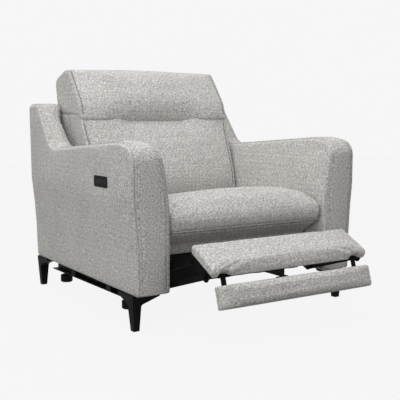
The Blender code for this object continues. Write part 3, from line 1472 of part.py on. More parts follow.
remove_start_objects()
parts = make_collection("snuggle_chair")
cutters = make_collection("cutters")
chair = bpy.data.objects.new("chair", None)
parts.objects.link(chair)
build_chair()
centre_on_footprint()
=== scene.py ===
"""Looks of the power reclining snuggle chair: upholstery, seams, materials, light and camera."""

import json
from functools import cache
from math import atan2, ceil, cos, exp, pi, radians, sin, tan

import bmesh
import bpy
from mathutils import Matrix, Vector
from mathutils.bvhtree import BVHTree
from mathutils.kdtree import KDTree


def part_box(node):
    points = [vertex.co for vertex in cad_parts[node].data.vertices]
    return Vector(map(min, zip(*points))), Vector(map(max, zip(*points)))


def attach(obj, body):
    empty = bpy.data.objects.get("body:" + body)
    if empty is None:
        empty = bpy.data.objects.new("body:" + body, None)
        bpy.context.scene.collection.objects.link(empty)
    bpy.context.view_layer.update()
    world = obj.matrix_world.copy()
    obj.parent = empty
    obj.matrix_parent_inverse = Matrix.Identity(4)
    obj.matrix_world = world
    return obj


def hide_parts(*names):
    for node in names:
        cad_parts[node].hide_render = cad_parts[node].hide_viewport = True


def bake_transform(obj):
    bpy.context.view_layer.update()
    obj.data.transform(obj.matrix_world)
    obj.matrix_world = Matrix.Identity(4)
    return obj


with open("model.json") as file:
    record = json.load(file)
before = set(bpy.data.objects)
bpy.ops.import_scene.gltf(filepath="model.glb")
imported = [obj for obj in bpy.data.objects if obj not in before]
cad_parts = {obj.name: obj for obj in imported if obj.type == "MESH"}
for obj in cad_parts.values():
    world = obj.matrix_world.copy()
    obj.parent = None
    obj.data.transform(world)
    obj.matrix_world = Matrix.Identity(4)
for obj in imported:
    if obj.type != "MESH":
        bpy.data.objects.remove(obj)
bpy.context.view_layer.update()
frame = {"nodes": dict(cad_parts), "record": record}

# Chair coordinates: y runs back from the front of the arms
ARM_LOW, ARM_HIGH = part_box("left_arm_cover")
ARM_FRONT = ARM_LOW.y
ARM_DEPTH = ARM_HIGH.y - ARM_LOW.y

# Camera of the photograph, in chair coordinates
PHOTO_PIXELS = 400
FOCAL_PIXELS = 776.0
SENSOR_MM = 36.0
CAMERA_YAW = radians(33.43)
CAMERA_PITCH = radians(6.276)
CAMERA_PLACE = (-1.8381, -2.4075, 0.7934)

# Arms
ARM_BOTTOM_Z = ARM_LOW.z
ARM_OUTER_HALF = -ARM_LOW.x
ARM_FOOT_INSET = 0.0186
ARM_INNER_LOW = 0.377
ARM_INNER_TOP = 0.412
ARM_INNER_TOP_DROP = 0.016
ARM_FRONT_TOP_Z = 0.675
ARM_CREST_Y = 0.110
ARM_CREST_Z = 0.694
ARM_REAR_DIP_Z = 0.644
WING_FOOT_DEPTH = 0.258
WING_TOP_DEPTH = 0.108
WING_TOP_Z = ARM_HIGH.z
WING_LEAN = 0.024
WING_WRAP_Y = 0.885
WING_WRAP_REACH = 0.060
WING_WRAP_Z = (0.66, 0.76)
WING_WRAP_X = 0.397
ARM_REAR_LEAN = 0.022
ARM_REAR_TAPER = 0.030
ARM_EDGE_RADIUS = 0.012
ARM_EDGE_STEPS = 4
ARM_SPACING = 0.024
ARM_MIDDLE = (0.5, 0.5)
ARM_SEAM_INSET = 0.015
ARM_PANEL_PUFF = 0.0045
ARM_PUFF_REACH = 0.07
ARM_BAND_CROWN = 0.006
ARM_BAND_SHARES = (0.28, 0.39, 0.5, 0.61, 0.72)
ARM_BAND_FACING = (-0.4, 0.3)
ARM_BAND_FORWARD = 0.7
ARM_GRID = 0.030

# Seams of the arms' bands: (place across the seam, share of its depth)
SEAM_PROFILE = ((-0.0050, 0.0), (-0.0018, 0.6), (0.0, 1.0), (0.0018, 0.6), (0.0050, 0.0))
SEAM_DEPTH = 0.0042

# Outer side of an arm: (share of the rise, share of the foot's inset)
ARM_OUTER_CURVE = ((0.0, 1.0), (0.28, 0.87), (0.48, 0.52), (0.66, 0.0))

# Inner side of an arm: (height, share of the way out to the top)
ARM_INNER_CURVE = ((0.448, 0.0), (0.518, 0.22), (0.578, 0.45), (0.633, 0.80))

# Inner side of a wing: (distance below its top, share of its lean)
WING_LEAN_CURVE = ((0.100, 0.27), (0.024, 0.77), (0.0, 1.0))

# Switch on the left arm, where the panel lies a little behind the plate
SWITCH_DENT = 0.0016
SWITCH_REACH = 0.060

# Back: the height that the top of the block joining the lumbar part to the headrest is brought up to
BEND_HIGH_Z = 0.799

# Cloth of the back: held near its top, stretched up to the headrest and drawn in at its foot
BEND_HELD = 0.018
BACK_STRETCH = 0.06
BACK_DRAW = 0.024
BACK_DRAW_Z = (0.44, 0.60)
FRAME_INSET = 0.001

# Half width of the back's front: (height, inset from the cushion's side, or the headrest's at the top)
BACK_EDGE_LOW = (0.46, 0.027)
BACK_EDGE_MIDDLE = (0.58, 0.015)
BACK_EDGE_TOP = (0.80, 0.002)

# Tuck between the lumbar part and the headrest, which is deep in the middle and fades to the sides
TUCK_MIDDLE = (0.12, 0.22)
TUCK_WIDE = (0.13, 0.28)
HEAD_FRONT = (0.02, 0.10)
HEAD_FOOT = 0.08
HEAD_DROP = 0.018
HEAD_MIDDLE_DROP = 0.012
HEAD_FOOT_OUT = 0.006
HEAD_TURN = 0.040
HEAD_TURN_HEIGHT = 0.100
HEAD_TURN_REACH = 0.130
LUMBAR_SINK = 0.034
LUMBAR_FRONT = 0.15
LUMBAR_FRONT_REACH = 0.08
LUMBAR_ROLL = 0.006
LUMBAR_MIDDLE_ROLL = 0.038
LUMBAR_ROLL_HEIGHT = 0.077
LUMBAR_ROLL_REACH = 0.080
LUMBAR_ROLL_LIMIT = 1.1

# Seat: a crowned cushion with a round nose
SEAT_CREST_Z = 0.496
SEAT_CROWN = 0.14
SEAT_FALL = 0.155
SEAT_NOSE = 0.095
SEAT_NOSE_Z = 0.402
SEAT_END = 0.048
SEAT_UNDER = 0.010

# Footrest pads: the front top edge, the slopes and the board's inset are those of the CAD model
PAD_FRONT_TOP = (-0.258, 0.268)
PAD_TILT = radians(27.0)
PAD_PLUMB = 0.42
PAD_PLUMB_RUN = 0.035
PAD_BOARD_INSET = 0.008
PAD_BOARD_EXTRA = 0.002
FLIPPER_TILT = radians(73.5)
FLIPPER_BOARD_EXTRA = 0.005
FLIPPER_BAR_X = 0.310
BAR_NOTCH = (0.016, 0.030)
BAR_NOTCH_DEPTH = 1.4

# Padded roll in front of the front rail, which carries the nose of the seat
ROLL_FRONT_Y = 0.024
ROLL_TOP_Z = 0.3515
ROLL_TOP_RADIUS = 0.004
ROLL_FOOT_Z = 0.296
ROLL_FOOT_RADIUS = 0.012
RAIL_FOOT_Z = 0.256
RAIL_PADDING = 0.003
RAIL_SLANT = 0.007
RAIL_END = 0.006
RAIL_RADIUS = 0.003

# Lining cloth behind the front rail, and on the hidden side of the pads
LINING_BOTTOM_Z = 0.134
LINING_LAP = 0.010
LINING_SIDE_GAP = 0.004
LINING_FOLD = 0.0035
LINING_WAVES = ((31.0, 0.0, 1.0), (73.0, 1.0, 0.6))
LINING_GRID = (61, 13)
LINING_GAP = 0.004
LINING_THICKNESS = 0.0008
LINED_FACING = 0.85

# Stitching
STITCH_PITCH = 0.0065
STITCH_LENGTH = 0.0046
STITCH_RADIUS = 0.0006
STITCH_OFFSET = 0.0085
STITCH_PROFILE = ((-1.0, -0.9), (-0.55, 0.35), (0.55, 0.35), (1.0, -0.9))
STITCH_SIDES = 4
STITCHED_FACING = -0.5
PIPING_RADIUS = 0.0036
PIPING_PROUD = 0.6
PIPING_RISE = 0.004
PIPING_END = 0.008
PIPING_POINTS = 240
TRACE_REACH = 0.3
EDGE_SEAM_INSET = 0.011
EDGE_SEAM_END = 0.010
EDGE_SEAM_POINTS = 200
EDGE_STITCH_ROWS = (-0.0045, 0.0045)
# Dark cord sunk in the back's edge seams, a painted shadow along each seam: how deep it lies and its radius
SEAM_SHADOW_DEPTH = 0.0042
SEAM_SHADOW_RADIUS = 0.0016
TUBE_SIDES = 8
OFF_AXIS = Vector((0.13, 0.21, 0.97))
GROOVE_REACH = 3

# Cloth
FABRIC_WARMTH = 0.055
YARN_PERIOD = 0.0034
LATTICE_PERIOD = 0.021
CUSHION_VOXEL = 0.008
PAD_VOXEL = 0.006
CLOTH_FRAMES = 20
CLOTH_QUALITY = 3
RELAX_SHARE = 0.5

# Studio: lights are (name, place, target, size, power)
LIGHTS = (
    ("key", (-1.1, -0.4, 4.2), (0.0, 0.0, 0.4), (3.2, 3.2), 100.0),
    ("fill", (-3.4, -1.9, 1.7), (0.0, 0.0, 0.5), (2.6, 2.0), 30.0),
    ("back", (0.8, 2.6, 2.6), (0.0, 0.2, 0.6), (2.4, 1.8), 12.0),
)
WORLD_LIGHT = 0.64
BACKDROP_TONE = 0.921
FLOOR_HALF = 9.0
FLOOR_DROP = 0.0005
FLOOR_TONE = 0.20
FLOOR_GLOW = 0.995
FLOOR_GLOW_SHARE = 0.90

# Steps of round outlines, and the length of one wave of a wave texture of scale 1
ARC_STEP = radians(9)
WAVE_LENGTH = 0.314159


# Places

@cache
def box(node):
    """The corners of a CAD node, read once."""
    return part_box(node)


def place(x, y, z):
    """A point in chair coordinates, in the frame."""
    return Vector((x, y + ARM_FRONT, z))


def blend_table(table, z):
    """A reading of (height, value) pairs along straight lines."""
    if z <= table[0][0]:
        return table[0][1]
    for (z0, v0), (z1, v1) in zip(table, table[1:]):
        if z <= z1:
            return v0 + (v1 - v0) * (z - z0) / (z1 - z0)
    return table[-1][1]


def smooth_step(low, high, value):
    share = min(1.0, max(0.0, (value - low) / (high - low)))
    return share * share * (3 - 2 * share)


def rounded(corners):
    """A closed outline through corners (a, b, radius), with an arc at each corner."""
    outline = []
    for i, (a, b, radius) in enumerate(corners):
        here = Vector((a, b))
        into = (here - Vector(corners[i - 1][:2])).normalized()
        out = (Vector(corners[(i + 1) % len(corners)][:2]) - here).normalized()
        turn = atan2(into.x * out.y - into.y * out.x, into.dot(out))
        reach = radius * tan(abs(turn) / 2)
        side = 1 if turn > 0 else -1
        begin = here - into * reach
        centre = begin + Vector((-into.y, into.x)) * radius * side
        start = atan2(begin.y - centre.y, begin.x - centre.x)
        count = max(1, ceil(abs(turn) / ARC_STEP))
        for k in range(count + 1):
            angle = start + turn * k / count
            outline.append((centre.x + radius * cos(angle), centre.y + radius * sin(angle)))
    return outline


# Materials

class Material:
    """A node material, put together one node at a time."""

    def __init__(self, name):
        self.material = bpy.data.materials.new(name)
        self.material.use_nodes = True
        self.tree = self.material.node_tree
        self.shader = self.tree.nodes["Principled BSDF"]
        self.coords = self.node("ShaderNodeTexCoord").outputs["Object"]

    def node(self, kind, **settings):
        node = self.tree.nodes.new(kind)
        for name, value in settings.items():
            setattr(node, name, value)
        return node

    def link(self, source, target):
        self.tree.links.new(source, target)

    def noise(self, scale, detail=2.0, rough=0.5, stretch=None):
        node = self.node("ShaderNodeTexNoise")
        node.inputs["Scale"].default_value = scale
        node.inputs["Detail"].default_value = detail
        node.inputs["Roughness"].default_value = rough
        source = self.coords
        if stretch:
            mapping = self.node("ShaderNodeMapping")
            mapping.inputs["Scale"].default_value = stretch
            self.link(self.coords, mapping.inputs["Vector"])
            source = mapping.outputs["Vector"]
        self.link(source, node.inputs["Vector"])
        return node.outputs["Fac"]

    def wave(self, direction, period, distortion):
        node = self.node("ShaderNodeTexWave", bands_direction=direction)
        node.inputs["Scale"].default_value = WAVE_LENGTH / period
        node.inputs["Distortion"].default_value = distortion
        node.inputs["Detail"].default_value = 1.0
        self.link(self.coords, node.inputs["Vector"])
        return node.outputs["Fac"]

    def lattice(self, period):
        """A small repeat of diamonds on any side of a piece, from 0 to 1."""
        waves = [self.math("SUBTRACT", self.wave(direction, period, 0.6), 0.5) for direction in "XYZ"]
        pairs = [self.math("MULTIPLY", a, b) for a, b in zip(waves, waves[1:] + waves[:1])]
        total = self.math("ADD", self.math("ADD", pairs[0], pairs[1]), pairs[2])
        return self.math("ADD", self.math("MULTIPLY", total, 1.3), 0.5)

    def ramp(self, factor, stops):
        node = self.node("ShaderNodeValToRGB")
        elements = node.color_ramp.elements
        while len(elements) < len(stops):
            elements.new(0.5)
        for element, (position, colour) in zip(elements, stops):
            element.position = position
            element.color = (*colour, 1.0)
        self.link(factor, node.inputs["Fac"])
        return node.outputs["Color"]

    def math(self, operation, a, b):
        node = self.node("ShaderNodeMath", operation=operation)
        for socket, value in zip(node.inputs, (a, b)):
            if isinstance(value, (int, float)):
                socket.default_value = value
            else:
                self.link(value, socket)
        return node.outputs["Value"]

    def mix(self, blend, factor, a, b):
        node = self.node("ShaderNodeMix", data_type="RGBA", blend_type=blend)
        node.inputs["Factor"].default_value = factor
        self.link(a, node.inputs["A"])
        self.link(b, node.inputs["B"])
        return node.outputs["Result"]

    def bump(self, height, strength, distance):
        node = self.node("ShaderNodeBump")
        node.inputs["Strength"].default_value = strength
        node.inputs["Distance"].default_value = distance
        self.link(height, node.inputs["Height"])
        self.link(node.outputs["Normal"], self.shader.inputs["Normal"])

    def set(self, **values):
        for name, value in values.items():
            self.shader.inputs[name.replace("_", " ")].default_value = value


def grey(value, warmth=0.0):
    return (value, value * (1 - warmth * 0.35), value * (1 - warmth))


def make_fabric(name, light=1.0):
    """Grey melange cloth: a coarse weave of lighter and darker yarns, with a slow drift of tone."""
    look = Material(name)
    flecks = look.noise(170.0, 3.0, 0.66, (0.9, 0.9, 1.25))
    fine = look.noise(460.0, 2.0, 0.6)
    drift = look.noise(5.0, 2.0, 0.5)
    stops = [(0.28, 0.25), (0.43, 0.40), (0.50, 0.51), (0.57, 0.62), (0.72, 0.82)]
    colour = look.ramp(flecks, [(at, grey(tone * light, FABRIC_WARMTH)) for at, tone in stops])
    speckle = look.ramp(fine, [(0.32, grey(0.78)), (0.5, grey(1.0)), (0.70, grey(1.24))])
    shade = look.ramp(drift, [(0.3, grey(0.96)), (0.7, grey(1.04))])
    lattice = look.ramp(look.lattice(LATTICE_PERIOD), [(0.0, grey(0.92)), (1.0, grey(1.08))])
    colour = look.mix("MULTIPLY", 0.8, colour, speckle)
    colour = look.mix("MULTIPLY", 1.0, colour, shade)
    colour = look.mix("MULTIPLY", 1.0, colour, lattice)
    look.link(colour, look.shader.inputs["Base Color"])
    yarns = [look.wave(direction, YARN_PERIOD, 2.0) for direction in "XYZ"]
    weave = look.math("ADD", look.math("ADD", yarns[0], yarns[1]), yarns[2])
    look.bump(look.math("ADD", weave, look.math("MULTIPLY", flecks, 2.4)), 0.50, 0.0008)
    look.set(Roughness=0.92, Sheen_Weight=0.12, Sheen_Roughness=0.45, Specular_IOR_Level=0.2)
    return look.material


# Dark grey thread for the stitches; the same dark colour is the painted shadow of the cord sunk in the
# back's seams
def make_thread(name):
    look = Material(name)
    twist = look.wave("DIAGONAL", 0.0012, 0.0)
    colour = look.ramp(twist, [(0.2, grey(0.08, 0.05)), (0.8, grey(0.20, 0.05))])
    look.link(colour, look.shader.inputs["Base Color"])
    look.bump(twist, 0.4, 0.0003)
    look.set(Roughness=0.7)
    return look.material


def make_cambric(name):
    """Black non-woven lining cloth."""
    look = Material(name)
    fibres = look.noise(700.0, 3.0, 0.6)
    cells = look.math("ADD", look.wave("X", 0.0025, 0.3), look.wave("Z", 0.0025, 0.3))
    colour = look.ramp(fibres, [(0.3, grey(0.006)), (0.7, grey(0.018))])
    look.link(colour, look.shader.inputs["Base Color"])
    look.bump(look.math("ADD", cells, fibres), 0.4, 0.0004)
    look.set(Roughness=0.95, Specular_IOR_Level=0.15)
    return look.material


def make_black_steel(name):
    """Black powder coat, a little dusty."""
    look = Material(name)
    cloud = look.noise(28.0, 4.0, 0.6)
    grain = look.noise(900.0, 2.0, 0.5)
    stops = [(0.35, grey(0.003)), (0.62, grey(0.005)), (0.85, grey(0.012))]
    look.link(look.ramp(cloud, stops), look.shader.inputs["Base Color"])
    rough = look.ramp(cloud, [(0.3, grey(0.42)), (0.75, grey(0.58))])
    look.link(rough, look.shader.inputs["Roughness"])
    look.bump(grain, 0.25, 0.0002)
    look.set(Metallic=0.05, Specular_IOR_Level=0.06)
    return look.material


def make_bright_steel(name):
    look = Material(name)
    brush = look.noise(120.0, 3.0, 0.6, (1.0, 12.0, 12.0))
    colour = look.ramp(brush, [(0.3, (0.32, 0.32, 0.33)), (0.75, (0.52, 0.52, 0.53))])
    look.link(colour, look.shader.inputs["Base Color"])
    rough = look.ramp(brush, [(0.3, grey(0.28)), (0.75, grey(0.45))])
    look.link(rough, look.shader.inputs["Roughness"])
    look.bump(brush, 0.15, 0.0002)
    look.set(Metallic=0.9)
    return look.material


def make_black_plastic(name, tone=0.003):
    """Moulded plastic with a fine spark texture."""
    look = Material(name)
    spark = look.noise(1400.0, 1.0, 0.5)
    cloud = look.noise(18.0, 3.0, 0.55)
    colour = look.ramp(cloud, [(0.3, grey(tone * 0.8)), (0.7, grey(tone * 1.25))])
    look.link(colour, look.shader.inputs["Base Color"])
    rough = look.ramp(cloud, [(0.3, grey(0.46)), (0.7, grey(0.58))])
    look.link(rough, look.shader.inputs["Roughness"])
    look.bump(spark, 0.2, 0.0002)
    look.set(Specular_IOR_Level=0.07)
    return look.material


def make_timber(name):
    look = Material(name)
    rings = look.noise(24.0, 4.0, 0.6, (14.0, 1.0, 14.0))
    stops = [(0.3, (0.42, 0.28, 0.15)), (0.55, (0.58, 0.42, 0.25)), (0.8, (0.68, 0.52, 0.34))]
    colour = look.ramp(rings, stops)
    look.link(colour, look.shader.inputs["Base Color"])
    look.bump(rings, 0.2, 0.0004)
    look.set(Roughness=0.65)
    return look.material


def make_webbing(name):
    look = Material(name)
    strands = look.math("ADD", look.wave("X", 0.0030, 0.5), look.wave("Y", 0.0030, 0.5))
    colour = look.ramp(strands, [(0.3, (0.035, 0.035, 0.038)), (0.9, (0.085, 0.085, 0.09))])
    look.link(colour, look.shader.inputs["Base Color"])
    look.bump(strands, 0.5, 0.0008)
    look.set(Roughness=0.85)
    return look.material


FABRIC = make_fabric("grey_melange")
PIPING = make_fabric("grey_melange_piping", 0.92)
THREAD_AND_SEAM_SHADOW = make_thread("grey_thread_and_seam_shadow")
STEEL = make_black_steel("black_powder_coat")
BRIGHT = make_bright_steel("zinc_plate")
PLASTIC = make_black_plastic("black_plastic")
BUTTON = make_black_plastic("button_plastic", 0.022)
CAMBRIC = make_cambric("black_cambric")
TIMBER = make_timber("frame_timber")
WEBBING = make_webbing("deck_webbing")

SLOT_LOOKS = {
    "black_steel": STEEL,
    "black_plastic": PLASTIC,
    "frame_timber": TIMBER,
    "deck_webbing": WEBBING,
    "upholstery": FABRIC,
}


def dress_frame():
    """Gives every CAD node the look of its slot in the record."""
    slots = {row["node"]: row["material_slot"] for row in frame["record"]["subparts"]}
    for name, obj in frame["nodes"].items():
        look = SLOT_LOOKS[slots[name]]
        if name.startswith("switch_button"):
            look = BUTTON
        if name in ("headrest_hinge_rod", "mid_cross_tube", "rear_cross_tube"):
            look = BRIGHT
        obj.data.materials.clear()
        obj.data.materials.append(look)


# Meshes

def make_object(name, mesh, look):
    obj = bpy.data.objects.new(name, mesh)
    bpy.context.scene.collection.objects.link(obj)
    mesh.materials.clear()
    mesh.materials.append(look)
    return obj


def mesh_from(name, work):
    mesh = bpy.data.meshes.new(name)
    bmesh.ops.recalc_face_normals(work, faces=work.faces)
    work.to_mesh(mesh)
    work.free()
    mesh.shade_smooth()
    return mesh


def evaluated_mesh(obj):
    bpy.context.view_layer.update()
    graph = bpy.context.evaluated_depsgraph_get()
    return bpy.data.meshes.new_from_object(obj.evaluated_get(graph))


def apply_modifiers(obj):
    """Puts a piece's evaluated mesh in place of its own."""
    mesh = evaluated_mesh(obj)
    obj.modifiers.clear()
    old = obj.data
    obj.data = mesh
    bpy.data.meshes.remove(old)
    mesh.shade_smooth()


def tube(name, points, radius, look):
    """A round tube along points, with closed ends."""
    work = bmesh.new()
    rings = []
    for i, point in enumerate(points):
        ahead = points[min(i + 1, len(points) - 1)] - points[max(i - 1, 0)]
        ahead.normalize()
        across = ahead.cross(OFF_AXIS).normalized()
        up = across.cross(ahead)
        ring = []
        for k in range(TUBE_SIDES):
            angle = 2 * pi * k / TUBE_SIDES
            ring.append(work.verts.new(point + (across * cos(angle) + up * sin(angle)) * radius))
        rings.append(ring)
    skin(work, rings)
    return make_object(name, mesh_from(name, work), look)


def join_rings(work, a, b):
    """A band of faces between two rings of the same number of points."""
    count = len(a)
    for k in range(count):
        after = (k + 1) % count
        work.faces.new((a[k], a[after], b[after], b[k]))


def skin(work, rings):
    """Faces along a row of rings, closed at both ends."""
    for a, b in zip(rings, rings[1:]):
        join_rings(work, a, b)
    work.faces.new(rings[0][::-1])
    work.faces.new(rings[-1])


def stitch_row(name, path):
    """A row of stitches along a path of (point, normal), each a thread that dips at both ends."""
    work = bmesh.new()
    lengths = [0.0]
    for (a, _), (b, _) in zip(path, path[1:]):
        lengths.append(lengths[-1] + (b - a).length)
    count = int(lengths[-1] / STITCH_PITCH)
    index = 0
    for i in range(count):
        target = (i + 0.5) * STITCH_PITCH
        while index < len(lengths) - 2 and lengths[index + 1] < target:
            index += 1
        share = (target - lengths[index]) / max(1e-9, lengths[index + 1] - lengths[index])
        centre = path[index][0].lerp(path[index + 1][0], share)
        normal = path[index][1].lerp(path[index + 1][1], share).normalized()
        along = (path[index + 1][0] - path[index][0]).normalized()
        across = normal.cross(along).normalized()
        add_stitch(work, centre, along, across, normal)
    return make_object(name, mesh_from(name, work), THREAD_AND_SEAM_SHADOW)


def add_stitch(work, centre, along, across, normal):
    rings = []
    for share, rise in STITCH_PROFILE:
        middle = centre + along * share * STITCH_LENGTH / 2 + normal * rise * STITCH_RADIUS
        ring = []
        for k in range(STITCH_SIDES):
            angle = pi / STITCH_SIDES + 2 * pi / STITCH_SIDES * k
            turn = across * cos(angle) + normal * sin(angle)
            ring.append(work.verts.new(middle + turn * STITCH_RADIUS))
        rings.append(ring)
    skin(work, rings)


# Arms

def arm_outline():
    corners = [
        (0.0, ARM_BOTTOM_Z, 0.010),
        (ARM_DEPTH - ARM_REAR_LEAN, ARM_BOTTOM_Z, 0.018),
        (ARM_DEPTH, WING_TOP_Z, 0.022),
        (ARM_DEPTH - WING_TOP_DEPTH, WING_TOP_Z, 0.040),
        (ARM_DEPTH - WING_FOOT_DEPTH, ARM_REAR_DIP_Z, 0.100),
        (ARM_CREST_Y, ARM_CREST_Z, 0.150),
        (0.0, ARM_FRONT_TOP_Z, 0.062),
    ]
    return rounded(corners)


def resample(outline, spacing):
    """The outline with points added so that none are further apart than spacing."""
    points = []
    for a, b in zip(outline, outline[1:] + outline[:1]):
        a, b = Vector(a), Vector(b)
        count = max(1, ceil((b - a).length / spacing))
        points += [a.lerp(b, k / count) for k in range(count)]
    return points


def arm_outer_x(y, z):
    """The outer side of an arm, which comes in to its foot and to its rear."""
    rise = ARM_CREST_Z - ARM_BOTTOM_Z
    table = []
    for up, share in ARM_OUTER_CURVE:
        table.append((ARM_BOTTOM_Z + up * rise, ARM_OUTER_HALF - share * ARM_FOOT_INSET))
    return blend_table(table, z) - ARM_REAR_TAPER * y / ARM_DEPTH


def arm_inner_x(y, z):
    """The inner side of an arm; the rear of the wing is thicker, behind the side of the back."""
    rise = ARM_INNER_TOP - ARM_INNER_LOW
    table = [(at, ARM_INNER_LOW + share * rise) for at, share in ARM_INNER_CURVE]
    table.append((ARM_CREST_Z - ARM_INNER_TOP_DROP, ARM_INNER_TOP))
    for drop, share in WING_LEAN_CURVE:
        table.append((WING_TOP_Z - drop, ARM_INNER_TOP + share * WING_LEAN))
    inner = blend_table(table, z)
    behind = smooth_step(WING_WRAP_Y, WING_WRAP_Y + WING_WRAP_REACH, y) * smooth_step(*WING_WRAP_Z, z)
    return inner - (inner - WING_WRAP_X) * behind


def outline_normals(points):
    """Outward normals of an anticlockwise outline."""
    normals = []
    for i, _ in enumerate(points):
        along = points[(i + 1) % len(points)] - points[i - 1]
        normals.append(Vector((along.y, -along.x)).normalized())
    return normals


def arm_rings(points, normals):
    """The rows of points across an arm, from the inner panel over the band to the outer panel."""
    arcs = [radians(90 * k / ARM_EDGE_STEPS) for k in range(ARM_EDGE_STEPS + 1)]
    rings = []
    for angle in reversed(arcs):
        rings.append([inner_edge(p, n, angle) for p, n in zip(points, normals)])
    for gap, dive in SEAM_PROFILE:
        rings.append([band_point(p, n, ARM_SEAM_INSET + gap, 0.0, dive) for p, n in zip(points, normals)])
    for share in ARM_BAND_SHARES:
        rings.append([band_point(p, n, None, share, 0.0) for p, n in zip(points, normals)])
    for gap, dive in SEAM_PROFILE:
        rings.append([band_point(p, n, gap - ARM_SEAM_INSET, 0.0, dive) for p, n in zip(points, normals)])
    for angle in arcs:
        rings.append([outer_edge(p, n, angle) for p, n in zip(points, normals)])
    return rings


def inner_edge(point, normal, angle):
    p = point - normal * ARM_EDGE_RADIUS * (1 - cos(angle))
    return Vector((arm_inner_x(p.x, p.y) + ARM_EDGE_RADIUS * (1 - sin(angle)), p.x, p.y))


def outer_edge(point, normal, angle):
    p = point - normal * ARM_EDGE_RADIUS * (1 - cos(angle))
    return Vector((arm_outer_x(p.x, p.y) - ARM_EDGE_RADIUS * (1 - sin(angle)), p.x, p.y))


def band_point(point, normal, from_edge, share, dive):
    """A point of the band: at a distance from the inner (+) or outer (-) edge, or at a share across.

    The band swells where it faces up or forward.
    """
    inner, outer = arm_inner_x(point.x, point.y), arm_outer_x(point.x, point.y)
    if from_edge is None:
        x = inner + (outer - inner) * share
    else:
        x = inner + from_edge if from_edge > 0 else outer + from_edge
    across = (x - inner) / (outer - inner)
    facing = smooth_step(*ARM_BAND_FACING, normal.y - normal.x * ARM_BAND_FORWARD)
    lift = ARM_BAND_CROWN * (1 - (2 * across - 1) ** 2) * facing - SEAM_DEPTH * dive
    p = point + normal * lift
    return Vector((x, p.x, p.y))


def build_arm(label, side):
    points = resample(arm_outline(), ARM_SPACING)
    normals = outline_normals(points)
    rings = arm_rings(points, normals)
    work = bmesh.new()
    rows = [[work.verts.new(place(side * p.x, p.y, p.z)) for p in ring] for ring in rings]
    for a, b in zip(rows, rows[1:]):
        join_rings(work, a, b)
    rim = [Vector((p.y, p.z)) for p in rings[-1]]
    mark = work.faces.layers.int.new("panel")
    work.faces.new(rows[0])[mark] = 1
    work.faces.new(rows[-1][::-1])[mark] = 2
    for number in (1, 2):
        grid_panel(work, mark, number)
    lay_panels(work, rows, rim, side)
    name = f"{label}_arm_upholstery"
    arm = make_object(name, mesh_from(name, work), FABRIC)
    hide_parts(f"{label}_arm_cover")
    soft_piece(arm, "base")
    dress_arm(label, side, points, normals)


def grid_panel(work, mark, number):
    """Cuts a flat side panel into a grid, so that it can swell."""
    cuts = [(Vector((0, 1, 0)), ARM_FRONT + ARM_GRID * k) for k in range(1, ceil(ARM_DEPTH / ARM_GRID))]
    rise = WING_TOP_Z - ARM_BOTTOM_Z
    cuts += [(Vector((0, 0, 1)), ARM_BOTTOM_Z + ARM_GRID * k) for k in range(1, ceil(rise / ARM_GRID))]
    for normal, distance in cuts:
        faces = [f for f in work.faces if f[mark] == number]
        edges = {e for f in faces for e in f.edges}
        verts = {v for f in faces for v in f.verts}
        geom = list(verts) + list(edges) + faces
        bmesh.ops.bisect_plane(work, geom=geom, plane_co=normal * distance, plane_no=normal, dist=1e-5)


def lay_panels(work, rows, rim, side):
    """Moves the points inside the panels to the arm's curved sides, and swells them away from the edges."""
    fixed = {v for row in rows for v in row}
    middle = (arm_inner_x(*ARM_MIDDLE) + arm_outer_x(*ARM_MIDDLE)) / 2
    for vert in work.verts:
        if vert in fixed:
            continue
        flat = Vector((vert.co.y - ARM_FRONT, vert.co.z))
        gap = min(distance_to(flat, a, b) for a, b in zip(rim, rim[1:] + rim[:1]))
        puff = ARM_PANEL_PUFF * (1 - exp(-gap / ARM_PUFF_REACH))
        if side * vert.co.x > middle and side < 0:
            near = 1 - smooth_step(0.0, SWITCH_REACH, switch_gap(vert.co))
            puff -= (puff + SWITCH_DENT) * near
        if abs(vert.co.x) > middle:
            vert.co.x = side * (arm_outer_x(flat.x, flat.y) + puff)
        else:
            vert.co.x = side * (arm_inner_x(flat.x, flat.y) - puff)


def switch_gap(co):
    """How far a point of the left panel is from the switch plate."""
    low, high = box("switch_bezel")
    across = max(low.y - co.y, 0.0, co.y - high.y)
    up = max(low.z - co.z, 0.0, co.z - high.z)
    return (across * across + up * up) ** 0.5


def distance_to(p, a, b):
    along = b - a
    share = min(1.0, max(0.0, (p - a).dot(along) / max(1e-12, along.length_squared)))
    return (p - a - along * share).length


def dress_arm(label, side, points, normals):
    """Stitch rows beside the two seams of the band, but not under the arm."""
    shown = [i for i, n in enumerate(normals) if n.y > STITCHED_FACING]
    start = next(i for i in shown if (i - 1) % len(points) not in shown)
    order = [(start + k) % len(points) for k in range(len(shown))]
    gaps = {"inner": ARM_SEAM_INSET + STITCH_OFFSET, "outer": -(ARM_SEAM_INSET + STITCH_OFFSET)}
    for edge, gap in gaps.items():
        path = []
        for i in order:
            p = band_point(points[i], normals[i], gap, 0.0, 0.0)
            normal = Vector((0, normals[i].x, normals[i].y))
            path.append((place(side * p.x, p.y, p.z), normal))
        row = stitch_row(f"{label}_arm_{edge}_stitches", path)
        thin_piece(row, "base")


# Soft pieces

def soft_piece(obj, body):
    thin_piece(obj, body)


def thin_piece(obj, body):
    """Lets a piece move with its body; a piece of the back's block only has its transform baked in place.
    """
    if body == "back block":
        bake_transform(obj)
    else:
        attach(obj, body)


def join_nodes(name, parts):
    """A new piece from the meshes of CAD nodes, each moved by its own rule: parts are (node, rule)."""
    work = bmesh.new()
    for node, rule in parts:
        known = set(work.verts)
        work.from_mesh(frame["nodes"][node].data)
        for vert in work.verts:
            if rule and vert not in known:
                vert.co = rule(vert.co.copy())
    return make_object(name, mesh_from(name, work), FABRIC)


def reshape(obj, rule):
    if rule:
        for vert in obj.data.vertices:
            vert.co = rule(vert.co.copy())


def voxel(obj, size):
    step = obj.modifiers.new("voxels", "REMESH")
    step.mode = "VOXEL"
    step.voxel_size = size
    apply_modifiers(obj)


